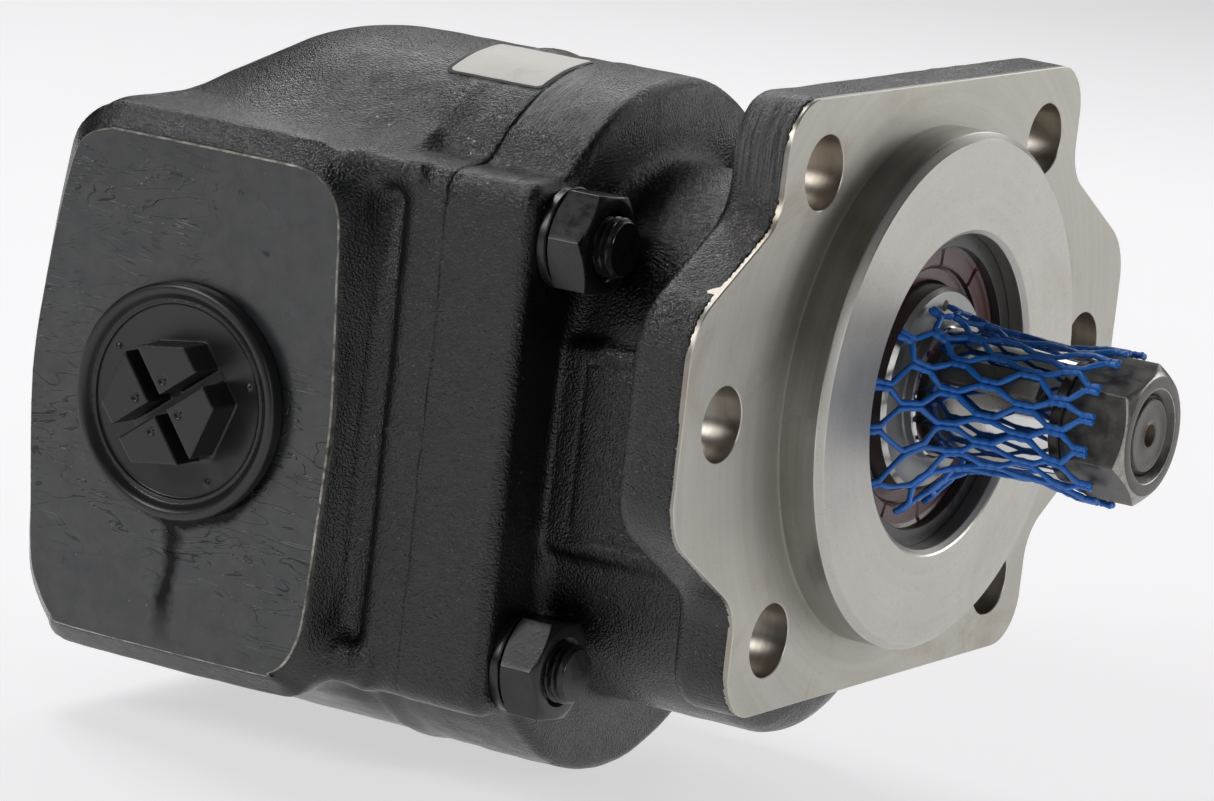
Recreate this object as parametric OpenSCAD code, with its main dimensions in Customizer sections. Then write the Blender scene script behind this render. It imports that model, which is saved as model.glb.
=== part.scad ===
// Flange-mounted external gear pump with a taper-keyed drive shaft.
// Frame: origin on the drive-shaft axis at the flange mounting face,
// +X out along the shaft, +Z up (the driven gear lies below), millimetres.

/* [Mounting flange] */
// Pilot spigot radius
pilot_r = 50.8;
// Pilot spigot height above the mounting face
pilot_h = 9.2; // [9:0.1:9.7]
// Flange thickness
flange_t = 13; // [12:0.5:14]
// Half height of the flange, top and bottom edges
flange_half = 59.3; // [58.8:0.1:60]
// Radius of every mounting hole
mount_hole_r = 7.2; // [7:0.05:7.5]
// Four-hole pattern spacing, both ways
four_bolt = 89.8;
// Two-hole pattern spacing across the ears
two_bolt = 146;

/* [Pump body] */
// Gear centre distance
gear_c = 40;
// Outer radius of the two humps over the gears
hump_r = 50; // [49:0.5:51]
// Half width of the body between the port pads
body_half = 52; // [51:0.5:53]
// Parting plane between front cover and housing
joint_x = -77.5;
// Front face of the cover's base plate
plate_x = -57.5;
// Rear face of the housing
rear_x = -166; // [-168:0.5:-165]
// Port pad face, distance from the middle plane
pad_y = 58; // [57:0.5:60]
// Radius of the cover's neck
neck_r = 34; // [33:0.5:35]
// Port thread bore radius
port_r = 16.2; // [15.6:0.1:16.6]
// Port centre along the shaft direction
port_x = -128.5;
// Port centre height
port_z = -22.1; // [-23:0.1:-20]

/* [Gears and shafts] */
// Teeth on each gear
teeth = 12;
// Pressure angle of the teeth
press_angle = 28; // [26:0.5:29]
// Journal radius of both gears
journal_r = 12;
// Rear face of the gears
gear_x0 = -138.7;
// Front face of the gears
gear_x1 = -113.3;
// Radius of the shaft collar in the shaft seal
collar_r = 20;
// Large end radius of the taper
taper_r0 = 12.7;
// Small end radius of the taper
taper_r1 = 10.95;
// Angle of the key around the shaft, from the top
key_a = 60; // [50:1:65]

/* [Fasteners] */
// Stud radius
stud_r = 6;
// Stud position from the middle plane
stud_y = 40;
// Half of the stud spacing in height
stud_dz = 42;
// Stud nut width across flats
stud_af = 19;
// Shaft nut width across flats
nut_af = 24;

/* [Hidden] */
$fn = 96;
mid_z = -gear_c / 2;
pitch_r = gear_c / 2;
modul = gear_c / teeth;
tip_r = pitch_r + 0.95 * modul;
root_r = pitch_r - 1.2 * modul;
base_r = pitch_r * cos(press_angle);
chamber_r = tip_r + 0.08;
seat = 0.02;
stud_zs = [mid_z - stud_dz, mid_z + stud_dz];

// ---- helpers ----

// cylinder along X from x0 to x1
module xc(x0, x1, r, y = 0, z = 0, n = 96) {
  translate([x0, y, z]) rotate([0, 90, 0]) cylinder(h = x1 - x0, r = r, $fn = n);
}
// cone along X
module xcone(x0, x1, r0, r1, y = 0, z = 0) {
  translate([x0, y, z]) rotate([0, 90, 0]) cylinder(h = x1 - x0, r1 = r0, r2 = r1, $fn = 96);
}
// box by its limits
module bx(x0, x1, y0, y1, z0, z1) {
  translate([x0, y0, z0]) cube([x1 - x0, y1 - y0, z1 - z0]);
}
// a 2-D outline in (Y, Z) pushed along X
module along_x(x0, x1) {
  translate([x0, 0, 0]) rotate([90, 0, 90]) linear_extrude(height = x1 - x0) children();
}
// a 2-D profile in (radius, X) turned about the X axis
module turned(y = 0, z = 0) {
  translate([0, y, z]) rotate([0, 90, 0]) rotate_extrude($fn = 128) children();
}

function unit2(v) = v / norm(v);
function lnorm(a, b) = let (d = unit2(b - a)) [-d[1], d[0]];
function ctr(a, b, c, r) = let (n1 = lnorm(a, b), n2 = lnorm(b, c)) b + r * (n1 + n2) / (1 + n1 * n2);

// convex outline, counter-clockwise, with one corner radius
module rounded(p, r) {
  n = len(p);
  c = [for (i = [0 : n - 1]) ctr(p[(i + n - 1) % n], p[i], p[(i + 1) % n], r)];
  polygon([for (i = [0 : n - 1], k = [0, 1])
    k == 0 ? c[i] - r * lnorm(p[(i + n - 1) % n], p[i]) : c[i] - r * lnorm(p[i], p[(i + 1) % n])]);
  for (q = c) translate(q) circle(r = r, $fn = 64);
}

// two circles a gear centre distance apart and the strip between them
module stadium(r) {
  circle(r = r, $fn = 128);
  translate([0, -gear_c]) circle(r = r, $fn = 128);
  translate([-r, -gear_c]) square([2 * r, gear_c]);
}

// joint-face outline of cover and housing: humps over the gears, square shoulders for the studs
module joint_outline() {
  sh = 52.5;
  fr = 6;
  fy = -sqrt((hump_r + fr) * (hump_r + fr) - (sh + mid_z + fr) * (sh + mid_z + fr));
  stadium(hump_r);
  rounded([[-body_half, mid_z - sh], [body_half, mid_z - sh], [body_half, mid_z + sh], [-body_half, mid_z + sh]], 5);
  for (s = [-1, 1]) for (t = [-1, 1])
    translate([0, mid_z]) scale([s, t]) translate([0, -mid_z])
      difference() {
        polygon([[fy, sh + mid_z + fr], [fy * hump_r / (hump_r + fr), (sh + mid_z + fr) * hump_r / (hump_r + fr)],
          [-32, 30], [fy, sh + mid_z - 2]]);
        translate([fy, sh + mid_z + fr]) circle(r = fr, $fn = 64);
      }
}

// mounting flange outline: square centre with two tapering ears
module flange_outline() {
  h = flange_half;
  cz = 42.7;
  cy = 69.3;
  rounded([[-h, -h], [h, -h], [h, h], [-h, h]], 10);
  for (s = [-1, 1]) scale([s, 1]) {
    polygon([[0, -36], [h - 1, -37.5], [61, -36], [81.2, -23.7], [87.5, -12.6], [87.5, 12.6], [81.2, 23.7], [61, 36], [h - 1, 37.5], [0, 36]]);
    for (t = [-1, 1]) {
      translate([74.5, t * 12.6]) circle(r = 13, $fn = 64);
      scale([1, t]) difference() {
        polygon([[h - 4, cz], [cy, cz], [64.12, 34.15], [h - 4, 33]]);
        translate([cy, cz]) circle(r = 10, $fn = 64);
      }
    }
  }
}

module flange_holes(x0, x1) {
  for (s = [-1, 1]) for (t = [-1, 1]) xc(x0, x1, mount_hole_r, s * four_bolt / 2, t * four_bolt / 2);
  for (s = [-1, 1]) xc(x0, x1, mount_hole_r, s * two_bolt / 2, 0);
}

module each_stud() {
  for (s = [-1, 1]) for (z = stud_zs) translate([0, s * stud_y, z]) children();
}

// hexagon prism along X with both ends chamfered
module hex_nut(x0, x1, af, bore, cham, turn) {
  cr = af / sqrt(3);
  intersection() {
    translate([x0, 0, 0]) rotate([90, 0, 90]) rotate([0, 0, turn]) cylinder(h = x1 - x0, r = cr, $fn = 6);
    turned() polygon([[bore, x0], [af / 2 * 0.97, x0], [cr * 1.01, x0 + cham], [cr * 1.01, x1 - cham], [af / 2 * 0.97, x1], [bore, x1]]);
  }
}

// involute tooth flank helpers
function inv(a) = tan(a) * 180 / PI - a;
function pol(r, a) = [r * sin(a), r * cos(a)];
half_a = 90 / teeth - 0.28 + inv(press_angle);
function flank(r) = half_a - inv(acos(base_r / max(r, base_r)));
function rs(k) = base_r + (tip_r - base_r) * k / 5;

// gear outline, a tooth centred at angle a0 from +Z
module gear_outline(a0) {
  polygon([for (i = [0 : teeth - 1]) each let (a = a0 + i * 360 / teeth) concat(
    [pol(root_r, a - 360 / teeth / 2 + 2.2), pol(root_r, a - flank(base_r) - 1.2)],
    [for (k = [0 : 5]) pol(rs(k), a - flank(rs(k)))],
    [for (k = [5 : -1 : 0]) pol(rs(k), a + flank(rs(k)))],
    [pol(root_r, a + flank(base_r) + 1.2)])]);
}

// figure-eight block that carries the journals
module bearing_block(x0, x1) {
  r = chamber_r - 0.04;
  difference() {
    union() {
      xc(x0, x1, r);
      xc(x0, x1, r, 0, -gear_c);
    }
    xc(x0 - 1, x1 + 1, journal_r + 2);
    xc(x0 - 1, x1 + 1, journal_r + 2, 0, -gear_c);
  }
}
module bush(x0, x1, z) {
  difference() {
    xc(x0, x1, journal_r + 2 - seat, 0, z);
    xc(x0 - 1, x1 + 1, journal_r + 0.04, 0, z);
  }
}
module balance_ring(x0, x1, ro, ri) {
  difference() {
    union() {
      xc(x0, x1, ro);
      xc(x0, x1, ro, 0, -gear_c);
    }
    union() {
      xc(x0 - 1, x1 + 1, ri);
      xc(x0 - 1, x1 + 1, ri, 0, -gear_c);
    }
    bx(x0 - 1, x1 + 1, -30, 30, mid_z - 1.5, mid_z + 1.5);
  }
}

// ---- castings ----

module front_cover() {
  color([0.10, 0.10, 0.11]) difference() {
    union() {
      along_x(joint_x, plate_x) joint_outline();
      difference() {
        along_x(plate_x - 1, -flange_t + 1) stadium(neck_r);
        translate([-24, -60, -gear_c - neck_r]) rotate([0, -45, 0]) translate([-4, 0, -30]) cube([60, 120, 30]);
      }
      along_x(-flange_t, 0) flange_outline();
      turned() polygon([[30, -1], [pilot_r, -1], [pilot_r, pilot_h - 1.3], [pilot_r - 1.3, pilot_h], [30, pilot_h]]);
      xc(-92.7, joint_x + 1, chamber_r - 0.12);
      xc(-92.7, joint_x + 1, chamber_r - 0.12, 0, -gear_c);
    }
    // seal and bearing seat, its mouth chamfer and the ring groove
    turned() polygon([[0, -14.2], [31, -14.2], [31, 2.85], [32.5, 2.85], [32.5, 4.95], [31, 4.95],
      [31, pilot_h - 1], [32, pilot_h], [32, pilot_h + 1], [0, pilot_h + 1]]);
    xc(-19, -14, 26.5);
    xc(-70, -18, 21);
    xc(-94, -69, 13.5);
    xc(-94, -88, 13.5, 0, -gear_c);
    flange_holes(-flange_t - 2, 1);
    each_stud() xc(joint_x - 1, plate_x + 1, stud_r + 0.3);
    for (s = [-1, 1]) xc(joint_x - 1, joint_x + 8.1, 3 + seat, s * 44, mid_z);
  }
}

module gear_housing() {
  pad = [[rear_x + 9, 28.5], [rear_x + 0.4, -22], [rear_x + 9, -72.4], [-99.5, -72.4], [-93.8, -20], [-99.5, 28.5]];
  color([0.09, 0.09, 0.10]) difference() {
    union() {
      // front flange that meets the cover
      along_x(-87.5, joint_x) joint_outline();
      // humps with round rear ends
      for (z = [0, -gear_c]) turned(0, z) intersection() {
        union() {
          translate([0, -118]) circle(r = hump_r - 0.15, $fn = 128);
          translate([0, -118]) square([hump_r - 0.15, -80 + 118]);
        }
        translate([0, rear_x + 1]) square([hump_r + 1, -80 - rear_x - 1]);
      }
      // body between and behind the humps
      bx(-95, -86, -46.5, 46.5, mid_z - 50, mid_z + 50);
      intersection() {
        bx(rear_x, -94, -body_half, body_half, mid_z - 52.5, mid_z + 52.5);
        translate([0, 60, 0]) rotate([90, 0, 0]) linear_extrude(height = 120)
          rounded([[rear_x, mid_z - 52.5], [-60, mid_z - 52.5], [-60, mid_z + 52.5], [rear_x, mid_z + 52.5]], 9);
        linear_extrude(height = 200, center = true)
          rounded([[rear_x, -body_half], [-60, -body_half], [-60, body_half], [rear_x, body_half]], 9);
      }
      // shoulders that close the side pockets above and below
      for (s = [-1, 1]) for (z = [[mid_z + 46, mid_z + 52.5], [mid_z - 52.5, mid_z - 46]])
        bx(-95, -86, s > 0 ? 30 : -body_half, s > 0 ? body_half : -30, z[0], z[1]);
      // port pads
      translate([0, pad_y, 0]) rotate([90, 0, 0]) linear_extrude(height = 2 * pad_y)
        rounded(pad, 8);
    }
    // gear chamber
    xc(-159.3, joint_x + 1, chamber_r);
    xc(-159.3, joint_x + 1, chamber_r, 0, -gear_c);
    // port bores, opening into the chamber
    for (s = [-1, 1]) {
      translate([port_x, 0, port_z]) rotate([s * 90, 0, 0]) cylinder(h = pad_y + 1, r = 12, $fn = 96);
      translate([port_x, -s * 30, port_z]) rotate([s * 90, 0, 0]) cylinder(h = pad_y - 29, r = port_r, $fn = 96);
      translate([port_x, -s * (pad_y - 3.5), port_z]) rotate([s * 90, 0, 0]) cylinder(h = 5, r1 = port_r, r2 = port_r + 2.2, $fn = 96);
    }
    // face seal groove
    difference() {
      along_x(joint_x - 2.1, joint_x + 1) stadium(30.2);
      along_x(joint_x - 3, joint_x + 2) stadium(27.4);
    }
    each_stud() xc(-105, joint_x + 1, stud_r + seat);
    for (s = [-1, 1]) xc(joint_x - 8.1, joint_x + 1, 3 + seat, s * 44, mid_z);
  }
}

// ---- rotating parts ----

module drive_gear() {
  color([0.62, 0.63, 0.65]) difference() {
    union() {
      along_x(gear_x0, gear_x1) gear_outline(180);
      xc(-157.5, gear_x0 + 1, journal_r);
      xc(gear_x1 - 1, -94.5, journal_r);
    }
    along_x(-110.3, -94) {
      circle(r = 7, $fn = 64);
      for (i = [0 : 5]) rotate(i * 60) translate([-1.55, 0]) square([3.1, 8.55]);
    }
    xcone(-158, -155, 3.2, 0.1);
  }
}

module driven_gear() {
  color([0.60, 0.61, 0.63]) translate([0, 0, -gear_c]) difference() {
    union() {
      along_x(gear_x0, gear_x1) gear_outline(180 / teeth);
      xc(-157.5, gear_x0 + 1, journal_r);
      xc(gear_x1 - 1, -94.5, journal_r);
    }
    xcone(-97.5, -94, 0.1, 3.2);
    xcone(-158, -155, 3.2, 0.1);
  }
}

module input_shaft() {
  color([0.70, 0.70, 0.70]) difference() {
    union() {
      along_x(-110, -93.5) {
        circle(r = 6.95, $fn = 64);
        for (i = [0 : 5]) rotate(i * 60) translate([-1.5, 0]) square([3, 8.5]);
      }
      turned() polygon([[0, -94], [9.5, -94], [9.5, -68], [14, -66], [14, -24], [17, -22],
        [17.5 - seat, -20], [17.5 - seat, -5.2], [collar_r, -5.2], [collar_r, 4.5], [collar_r - 1, 5.5],
        [13.2, 5.5], [13.2, 7.6], [taper_r0, 8], [taper_r1, 36.2], [8, 36.3], [8, 51], [7.2, 51.9], [0, 51.9]]);
    }
    // key seat
    rotate([key_a, 0, 0]) translate([22.8, 0, 14.2]) rotate([90, 0, 0]) cylinder(h = 5.04, r = 10.82, center = true, $fn = 96);
    // centre hole
    xcone(48.5, 52.2, 0.4, 2.15);
    // puller hole in the collar face
    xc(2.5, 6, 0.9, 0, 16.5, 32);
  }
}

module woodruff_key() {
  color([0.16, 0.15, 0.14]) rotate([key_a, 0, 0]) intersection() {
    translate([22.8, 0, 14.2]) rotate([90, 0, 0]) cylinder(h = 5, r = 10.8, center = true, $fn = 96);
    bx(5, 36, -4, 4, 2, 14.2);
  }
}

module shaft_washer() {
  color([0.13, 0.12, 0.12]) difference() {
    xc(36.35, 38.6, 12.0);
    xc(36, 39, 8.2);
    rotate([20, 0, 0]) bx(35, 40, -0.7, 0.7, 7, 14);
  }
}

module shaft_nut() {
  color([0.17, 0.17, 0.16]) difference() {
    hex_nut(38.65, 52.6, nut_af, 7.5, 2.1, 22);
    xc(38, 53, 8.06);
    xcone(51.6, 52.7, 8, 9.2);
  }
}

module shaft_net_sleeve() {
  color([0.08, 0.32, 0.78]) turned() polygon([[24.2, 6.8], [19, 9.8], [15.6, 14], [14.8, 19], [14.8, 31], [14.9, 46],
    [15.8, 46], [15.7, 31], [15.7, 19], [16.5, 14], [19.9, 9.8], [25.1, 6.8]]);
}

// ---- shaft bearing, seal and ring ----

ball_pr = 24.3;
ball_r = 3.15;
ball_n = 12;

module bearing_outer_ring() {
  color([0.66, 0.67, 0.69]) difference() {
    xc(-14.15, -5.25, 31 - seat);
    turned() union() {
      translate([0, -15]) square([26.4, 11]);
      translate([ball_pr, -9.7]) circle(r = 3.22, $fn = 64);
    }
  }
}
module bearing_inner_ring() {
  color([0.66, 0.67, 0.69]) difference() {
    xc(-14.15, -5.25, 22.2);
    xc(-15, -4, 17.5);
    turned() translate([ball_pr, -9.7]) circle(r = 3.22, $fn = 64);
  }
}
module bearing_balls() {
  color([0.72, 0.73, 0.75]) for (i = [0 : ball_n - 1]) rotate([i * 360 / ball_n, 0, 0])
    translate([-9.7, 0, ball_pr]) sphere(r = ball_r, $fn = 48);
}
module bearing_cage() {
  color([0.62, 0.50, 0.24]) difference() {
    xc(-13.3, -6.1, 25.2);
    xc(-14, -5, 23.4);
    for (i = [0 : ball_n - 1]) rotate([i * 360 / ball_n, 0, 0])
      translate([-9.7, 0, ball_pr - 3]) cylinder(h = 6, r = 3.25, $fn = 48);
  }
}
module retaining_ring() {
  color([0.20, 0.20, 0.21]) difference() {
    union() {
      difference() {
        xc(2.9, 4.9, 32.4);
        xc(2, 6, 27.8);
      }
      for (s = [-1, 1]) rotate([115 + s * 11, 0, 0]) intersection() {
        bx(2.9, 4.9, -2.6, 2.6, 25, 31);
        xc(2.9, 4.9, 31.5);
      }
    }
    rotate([115, 0, 0]) bx(2, 6, -3, 3, 20, 34);
    for (s = [-1, 1]) rotate([115 + s * 11, 0, 0]) xc(2, 6, 1.1, 0, 27.4, 32);
  }
}
module shaft_seal() {
  color([0.30, 0.09, 0.08]) difference() {
    turned() polygon([[23.4, -5.15], [31 - seat, -5.15], [31 - seat, 2.8], [27.3, 2.8], [27, 2.2], [23.6, 2.2],
      [23.2, 1.2], [20.9, 1.2], [20.05, 0], [20.4, -2.4], [21.2, -3.2]]);
    turned() translate([22.6, -2.75]) circle(r = 0.85, $fn = 48);
  }
}
module seal_garter_spring() {
  color([0.55, 0.56, 0.58]) turned() translate([22.6, -2.75]) circle(r = 0.82, $fn = 48);
}

// ---- inner static parts ----

module front_bearing_block() {
  color([0.72, 0.73, 0.75]) difference() {
    bearing_block(-113, -93.3);
    balance_ring(-95.3, -93, 20.6, 17.6);
  }
}
module rear_bearing_block() {
  color([0.72, 0.73, 0.75]) difference() {
    bearing_block(-158.7, -139);
    balance_ring(-159, -156.7, 20.6, 17.6);
  }
}
module drive_front_bush() { color([0.45, 0.34, 0.20]) bush(-112.9, -93.4, 0); }
module drive_rear_bush() { color([0.45, 0.34, 0.20]) bush(-158.6, -139.1, 0); }
module driven_front_bush() { color([0.45, 0.34, 0.20]) bush(-112.9, -93.4, -gear_c); }
module driven_rear_bush() { color([0.45, 0.34, 0.20]) bush(-158.6, -139.1, -gear_c); }
module front_balance_seal() { color([0.07, 0.07, 0.07]) balance_ring(-95.25, -92.8, 20.5, 17.7); }
module rear_balance_seal() { color([0.07, 0.07, 0.07]) balance_ring(-159.2, -156.75, 20.5, 17.7); }
module cover_seal() {
  color([0.06, 0.06, 0.06]) difference() {
    along_x(joint_x - 2.05, joint_x - 0.02) stadium(30.1);
    along_x(joint_x - 3, joint_x + 1) stadium(27.5);
  }
}
module dowel_pins() {
  color([0.55, 0.56, 0.58]) for (s = [-1, 1]) xc(joint_x - 8, joint_x + 8, 3, s * 44, mid_z, 48);
}

// ---- fasteners ----

module cover_studs() {
  color([0.11, 0.11, 0.12]) each_stud() turned() polygon([[0, -104.5], [5, -104.5], [stud_r, -103.5], [stud_r, -44.4], [5.1, -43.5], [0, -43.5]]);
}
module stud_nuts() {
  color([0.11, 0.11, 0.12]) each_stud() difference() {
    hex_nut(-55.45, -46.8, stud_af, 5.5, 1.1, 54);
    xc(-56, -46, stud_r + 0.03);
    xcone(-47.5, -46.7, stud_r, 6.8);
  }
}
module stud_washers() {
  color([0.11, 0.11, 0.12]) each_stud() difference() {
    xc(-57.5, -55.5, 10);
    xc(-58, -55, stud_r + 0.3);
  }
}

// ---- port plugs ----

module port_plug() {
  difference() {
    union() {
      cylinder(h = 17.5, r = port_r - 0.05, $fn = 96);
      rotate_extrude($fn = 128) union() {
        polygon([[0, 17.5], [23.6, 17.5], [23.6, 20], [21.8, 21.8], [20.2, 20.6], [19.4, 18.9], [0, 18.9]]);
        translate([21.8, 20]) circle(r = 1.8, $fn = 48);
      }
      rotate([0, 0, 8.5]) translate([0, 0, 18.5]) cylinder(h = 8.4, r = 13.4, $fn = 6);
    }
    translate([0, 0, -1]) cylinder(h = 14, r = 12.6, $fn = 96);
    rotate([0, 0, 37]) {
      translate([-16, -1.5, 18.9]) cube([32, 3, 10]);
      translate([-1.5, -16, 18.9]) cube([3, 32, 10]);
      for (s = [-1, 1]) for (t = [-1, 1]) translate([s * 3.6, t * 3.6, 27.3]) sphere(r = 0.8, $fn = 24);
    }
  }
}
module port_plug_near() {
  color([0.05, 0.05, 0.055]) translate([port_x, -pad_y - 0.02 + 17.5, port_z]) rotate([90, 0, 0]) port_plug();
}
module port_plug_far() {
  color([0.05, 0.05, 0.055]) translate([port_x, pad_y + 0.02 - 17.5, port_z]) rotate([-90, 0, 0]) port_plug();
}

module name_label() {
  color([0.90, 0.88, 0.80]) difference() {
    intersection() {
      xc(-99.5, -78.6, hump_r + 0.25);
      rotate([11.4, 0, 0]) rotate([0, 0, 0]) bx(-110, -70, -10, 10, 40, 60);
    }
    xc(-110, -70, hump_r + 0.03);
  }
}

// ---- place the nodes ----

front_cover();
gear_housing();
drive_gear();
driven_gear();
input_shaft();
front_bearing_block();
rear_bearing_block();
drive_front_bush();
drive_rear_bush();
driven_front_bush();
driven_rear_bush();
front_balance_seal();
rear_balance_seal();
cover_seal();
dowel_pins();
cover_studs();
stud_nuts();
stud_washers();
bearing_outer_ring();
bearing_inner_ring();
bearing_balls();
bearing_cage();
retaining_ring();
shaft_seal();
seal_garter_spring();
woodruff_key();
shaft_washer();
shaft_nut();
port_plug_near();
port_plug_far();
name_label();
shaft_net_sleeve();
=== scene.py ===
import math

import bpy
import numpy as np
from mathutils import Matrix, Vector


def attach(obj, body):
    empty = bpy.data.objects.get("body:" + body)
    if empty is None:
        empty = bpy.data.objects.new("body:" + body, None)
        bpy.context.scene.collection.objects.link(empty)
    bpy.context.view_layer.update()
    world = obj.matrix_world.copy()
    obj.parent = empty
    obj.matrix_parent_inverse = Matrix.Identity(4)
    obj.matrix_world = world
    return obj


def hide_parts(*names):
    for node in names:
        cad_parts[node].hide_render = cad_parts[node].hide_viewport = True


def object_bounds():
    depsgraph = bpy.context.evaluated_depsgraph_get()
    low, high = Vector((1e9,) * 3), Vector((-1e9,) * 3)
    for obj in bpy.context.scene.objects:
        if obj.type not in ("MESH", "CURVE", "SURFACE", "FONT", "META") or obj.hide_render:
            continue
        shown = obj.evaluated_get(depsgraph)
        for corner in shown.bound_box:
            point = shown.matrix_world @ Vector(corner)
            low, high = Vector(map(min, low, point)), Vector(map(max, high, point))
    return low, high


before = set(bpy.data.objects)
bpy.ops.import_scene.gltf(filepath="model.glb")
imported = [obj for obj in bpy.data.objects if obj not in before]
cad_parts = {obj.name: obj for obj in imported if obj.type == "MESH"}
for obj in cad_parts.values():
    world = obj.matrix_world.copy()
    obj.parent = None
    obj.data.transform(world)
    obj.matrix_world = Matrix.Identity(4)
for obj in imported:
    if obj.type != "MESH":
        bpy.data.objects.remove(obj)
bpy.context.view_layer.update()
MM = 0.001
pi = math.pi
scene = bpy.context.scene

# ------------------------------------------------------------------ camera
cam_data = bpy.data.cameras.new("view_camera")
cam = bpy.data.objects.new("view_camera", cam_data)
scene.collection.objects.link(cam)
cam_data.sensor_fit = "HORIZONTAL"
cam_data.sensor_width = 36.0
cam_data.lens = 190.58
cam_data.clip_start = 0.05
cam_data.clip_end = 60.0


def set_camera():
    az, el, roll = math.radians(29.948), math.radians(10.793), math.radians(6.490)
    back = Vector((math.sin(az) * math.cos(el), -math.cos(az) * math.cos(el), math.sin(el)))
    right0 = Vector((math.cos(az), math.sin(az), 0.0))
    up0 = back.cross(right0)
    right = math.cos(roll) * right0 + math.sin(roll) * up0
    up = -math.sin(roll) * right0 + math.cos(roll) * up0
    m = Matrix((
        (right.x, up.x, back.x, 0.56016),
        (right.y, up.y, back.y, -1.08827),
        (right.z, up.z, back.z, 0.22309),
        (0, 0, 0, 1),
    ))
    cam.matrix_world = m


set_camera()
scene.camera = cam

# ------------------------------------------------------------------ mesh helpers


def new_mesh(name, verts, faces, mats, mat_idx=None, sharp=None, smooth=True):
    """verts in mm (n,3), faces a list of index tuples or an (m,4)/(m,3) array."""
    me = bpy.data.meshes.new(name)
    verts = np.asarray(verts, dtype=np.float64) * MM
    if isinstance(faces, np.ndarray):
        k = faces.shape[1]
        me.vertices.add(len(verts))
        me.vertices.foreach_set("co", verts.astype(np.float32).ravel())
        me.loops.add(faces.size)
        me.loops.foreach_set("vertex_index", faces.astype(np.int32).ravel())
        me.polygons.add(len(faces))
        me.polygons.foreach_set("loop_start", np.arange(0, faces.size, k, dtype=np.int32))
        me.update(calc_edges=True)
    else:
        me.from_pydata([tuple(v) for v in verts], [], [tuple(int(i) for i in f) for f in faces])
    me.validate(clean_customdata=False)
    for m in mats:
        me.materials.append(m)
    if mat_idx is not None and len(mat_idx) == len(me.polygons):
        me.polygons.foreach_set("material_index", np.asarray(mat_idx, dtype=np.int32))
    me.polygons.foreach_set("use_smooth", np.full(len(me.polygons), smooth))
    if sharp is not None:
        me.set_sharp_from_angle(angle=math.radians(sharp))
    me.update()
    ob = bpy.data.objects.new(name, me)
    scene.collection.objects.link(ob)
    return ob


def outward(verts, faces):
    """Turn the faces round if the enclosed volume comes out negative."""
    v = np.asarray(verts, dtype=np.float64)
    vol = 0.0
    if isinstance(faces, np.ndarray):
        a = v[faces[:, 0]]
        for k in range(1, faces.shape[1] - 1):
            vol += np.einsum("ij,ij->i", a, np.cross(v[faces[:, k]], v[faces[:, k + 1]])).sum()
        return faces[:, ::-1].copy() if vol < 0 else faces
    for f in faces:
        for k in range(1, len(f) - 1):
            vol += float(np.dot(v[f[0]], np.cross(v[f[k]], v[f[k + 1]])))
    return [tuple(reversed(f)) for f in faces] if vol < 0 else faces


def join(name, obs):
    """One object from several, keeping their materials."""
    bpy.ops.object.select_all(action="DESELECT")
    for o in obs:
        o.select_set(True)
    bpy.context.view_layer.objects.active = obs[0]
    if len(obs) > 1:
        bpy.ops.object.join()
    obs[0].name = name
    obs[0].data.name = name
    return obs[0]


# ------------------------------------------------------------------ distance-field castings


def rmax(a, b, r):
    """Intersection with a rounded edge."""
    if r <= 0:
        return np.maximum(a, b)
    return np.minimum(np.maximum(a, b), -r) + np.sqrt(np.maximum(a + r, 0) ** 2 + np.maximum(b + r, 0) ** 2)


def rmin(a, b, r):
    """Union with a concave fillet."""
    if np.ndim(r) == 0 and r <= 0:
        return np.minimum(a, b)
    return np.maximum(np.minimum(a, b), r) - np.sqrt(np.maximum(r - a, 0) ** 2 + np.maximum(r - b, 0) ** 2)


def poly2(pts, u, v):
    """Signed distance to a closed polygon."""
    u, v = np.broadcast_arrays(u, v)
    d = np.full(u.shape, 1e18)
    inside = np.zeros(u.shape, dtype=bool)
    n = len(pts)
    for i in range(n):
        ax, ay = pts[i]
        bx, by = pts[(i + 1) % n]
        ex, ey = bx - ax, by - ay
        wx, wy = u - ax, v - ay
        t = np.clip((wx * ex + wy * ey) / (ex * ex + ey * ey + 1e-12), 0, 1)
        d = np.minimum(d, (wx - t * ex) ** 2 + (wy - t * ey) ** 2)
        if abs(by - ay) > 1e-12:
            cross = ((ay <= v) & (by > v)) | ((by <= v) & (ay > v))
            inside ^= cross & (u < ax + (v - ay) / (by - ay) * ex)
    return np.where(inside, -1.0, 1.0) * np.sqrt(d)


def arc(cx, cy, r, a0, a1, n=10):
    return [(cx + r * math.cos(math.radians(a0 + (a1 - a0) * i / n)), cy + r * math.sin(math.radians(a0 + (a1 - a0) * i / n))) for i in range(n + 1)]


def slab(lo, hi, w):
    return np.maximum(lo - w, w - hi)


def rbox2(u, v, u0, u1, v0, v1, r):
    du = np.abs(u - (u0 + u1) / 2) - (u1 - u0) / 2 + r
    dv = np.abs(v - (v0 + v1) / 2) - (v1 - v0) / 2 + r
    return np.sqrt(np.maximum(du, 0) ** 2 + np.maximum(dv, 0) ** 2) + np.minimum(np.maximum(du, dv), 0) - r


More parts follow.
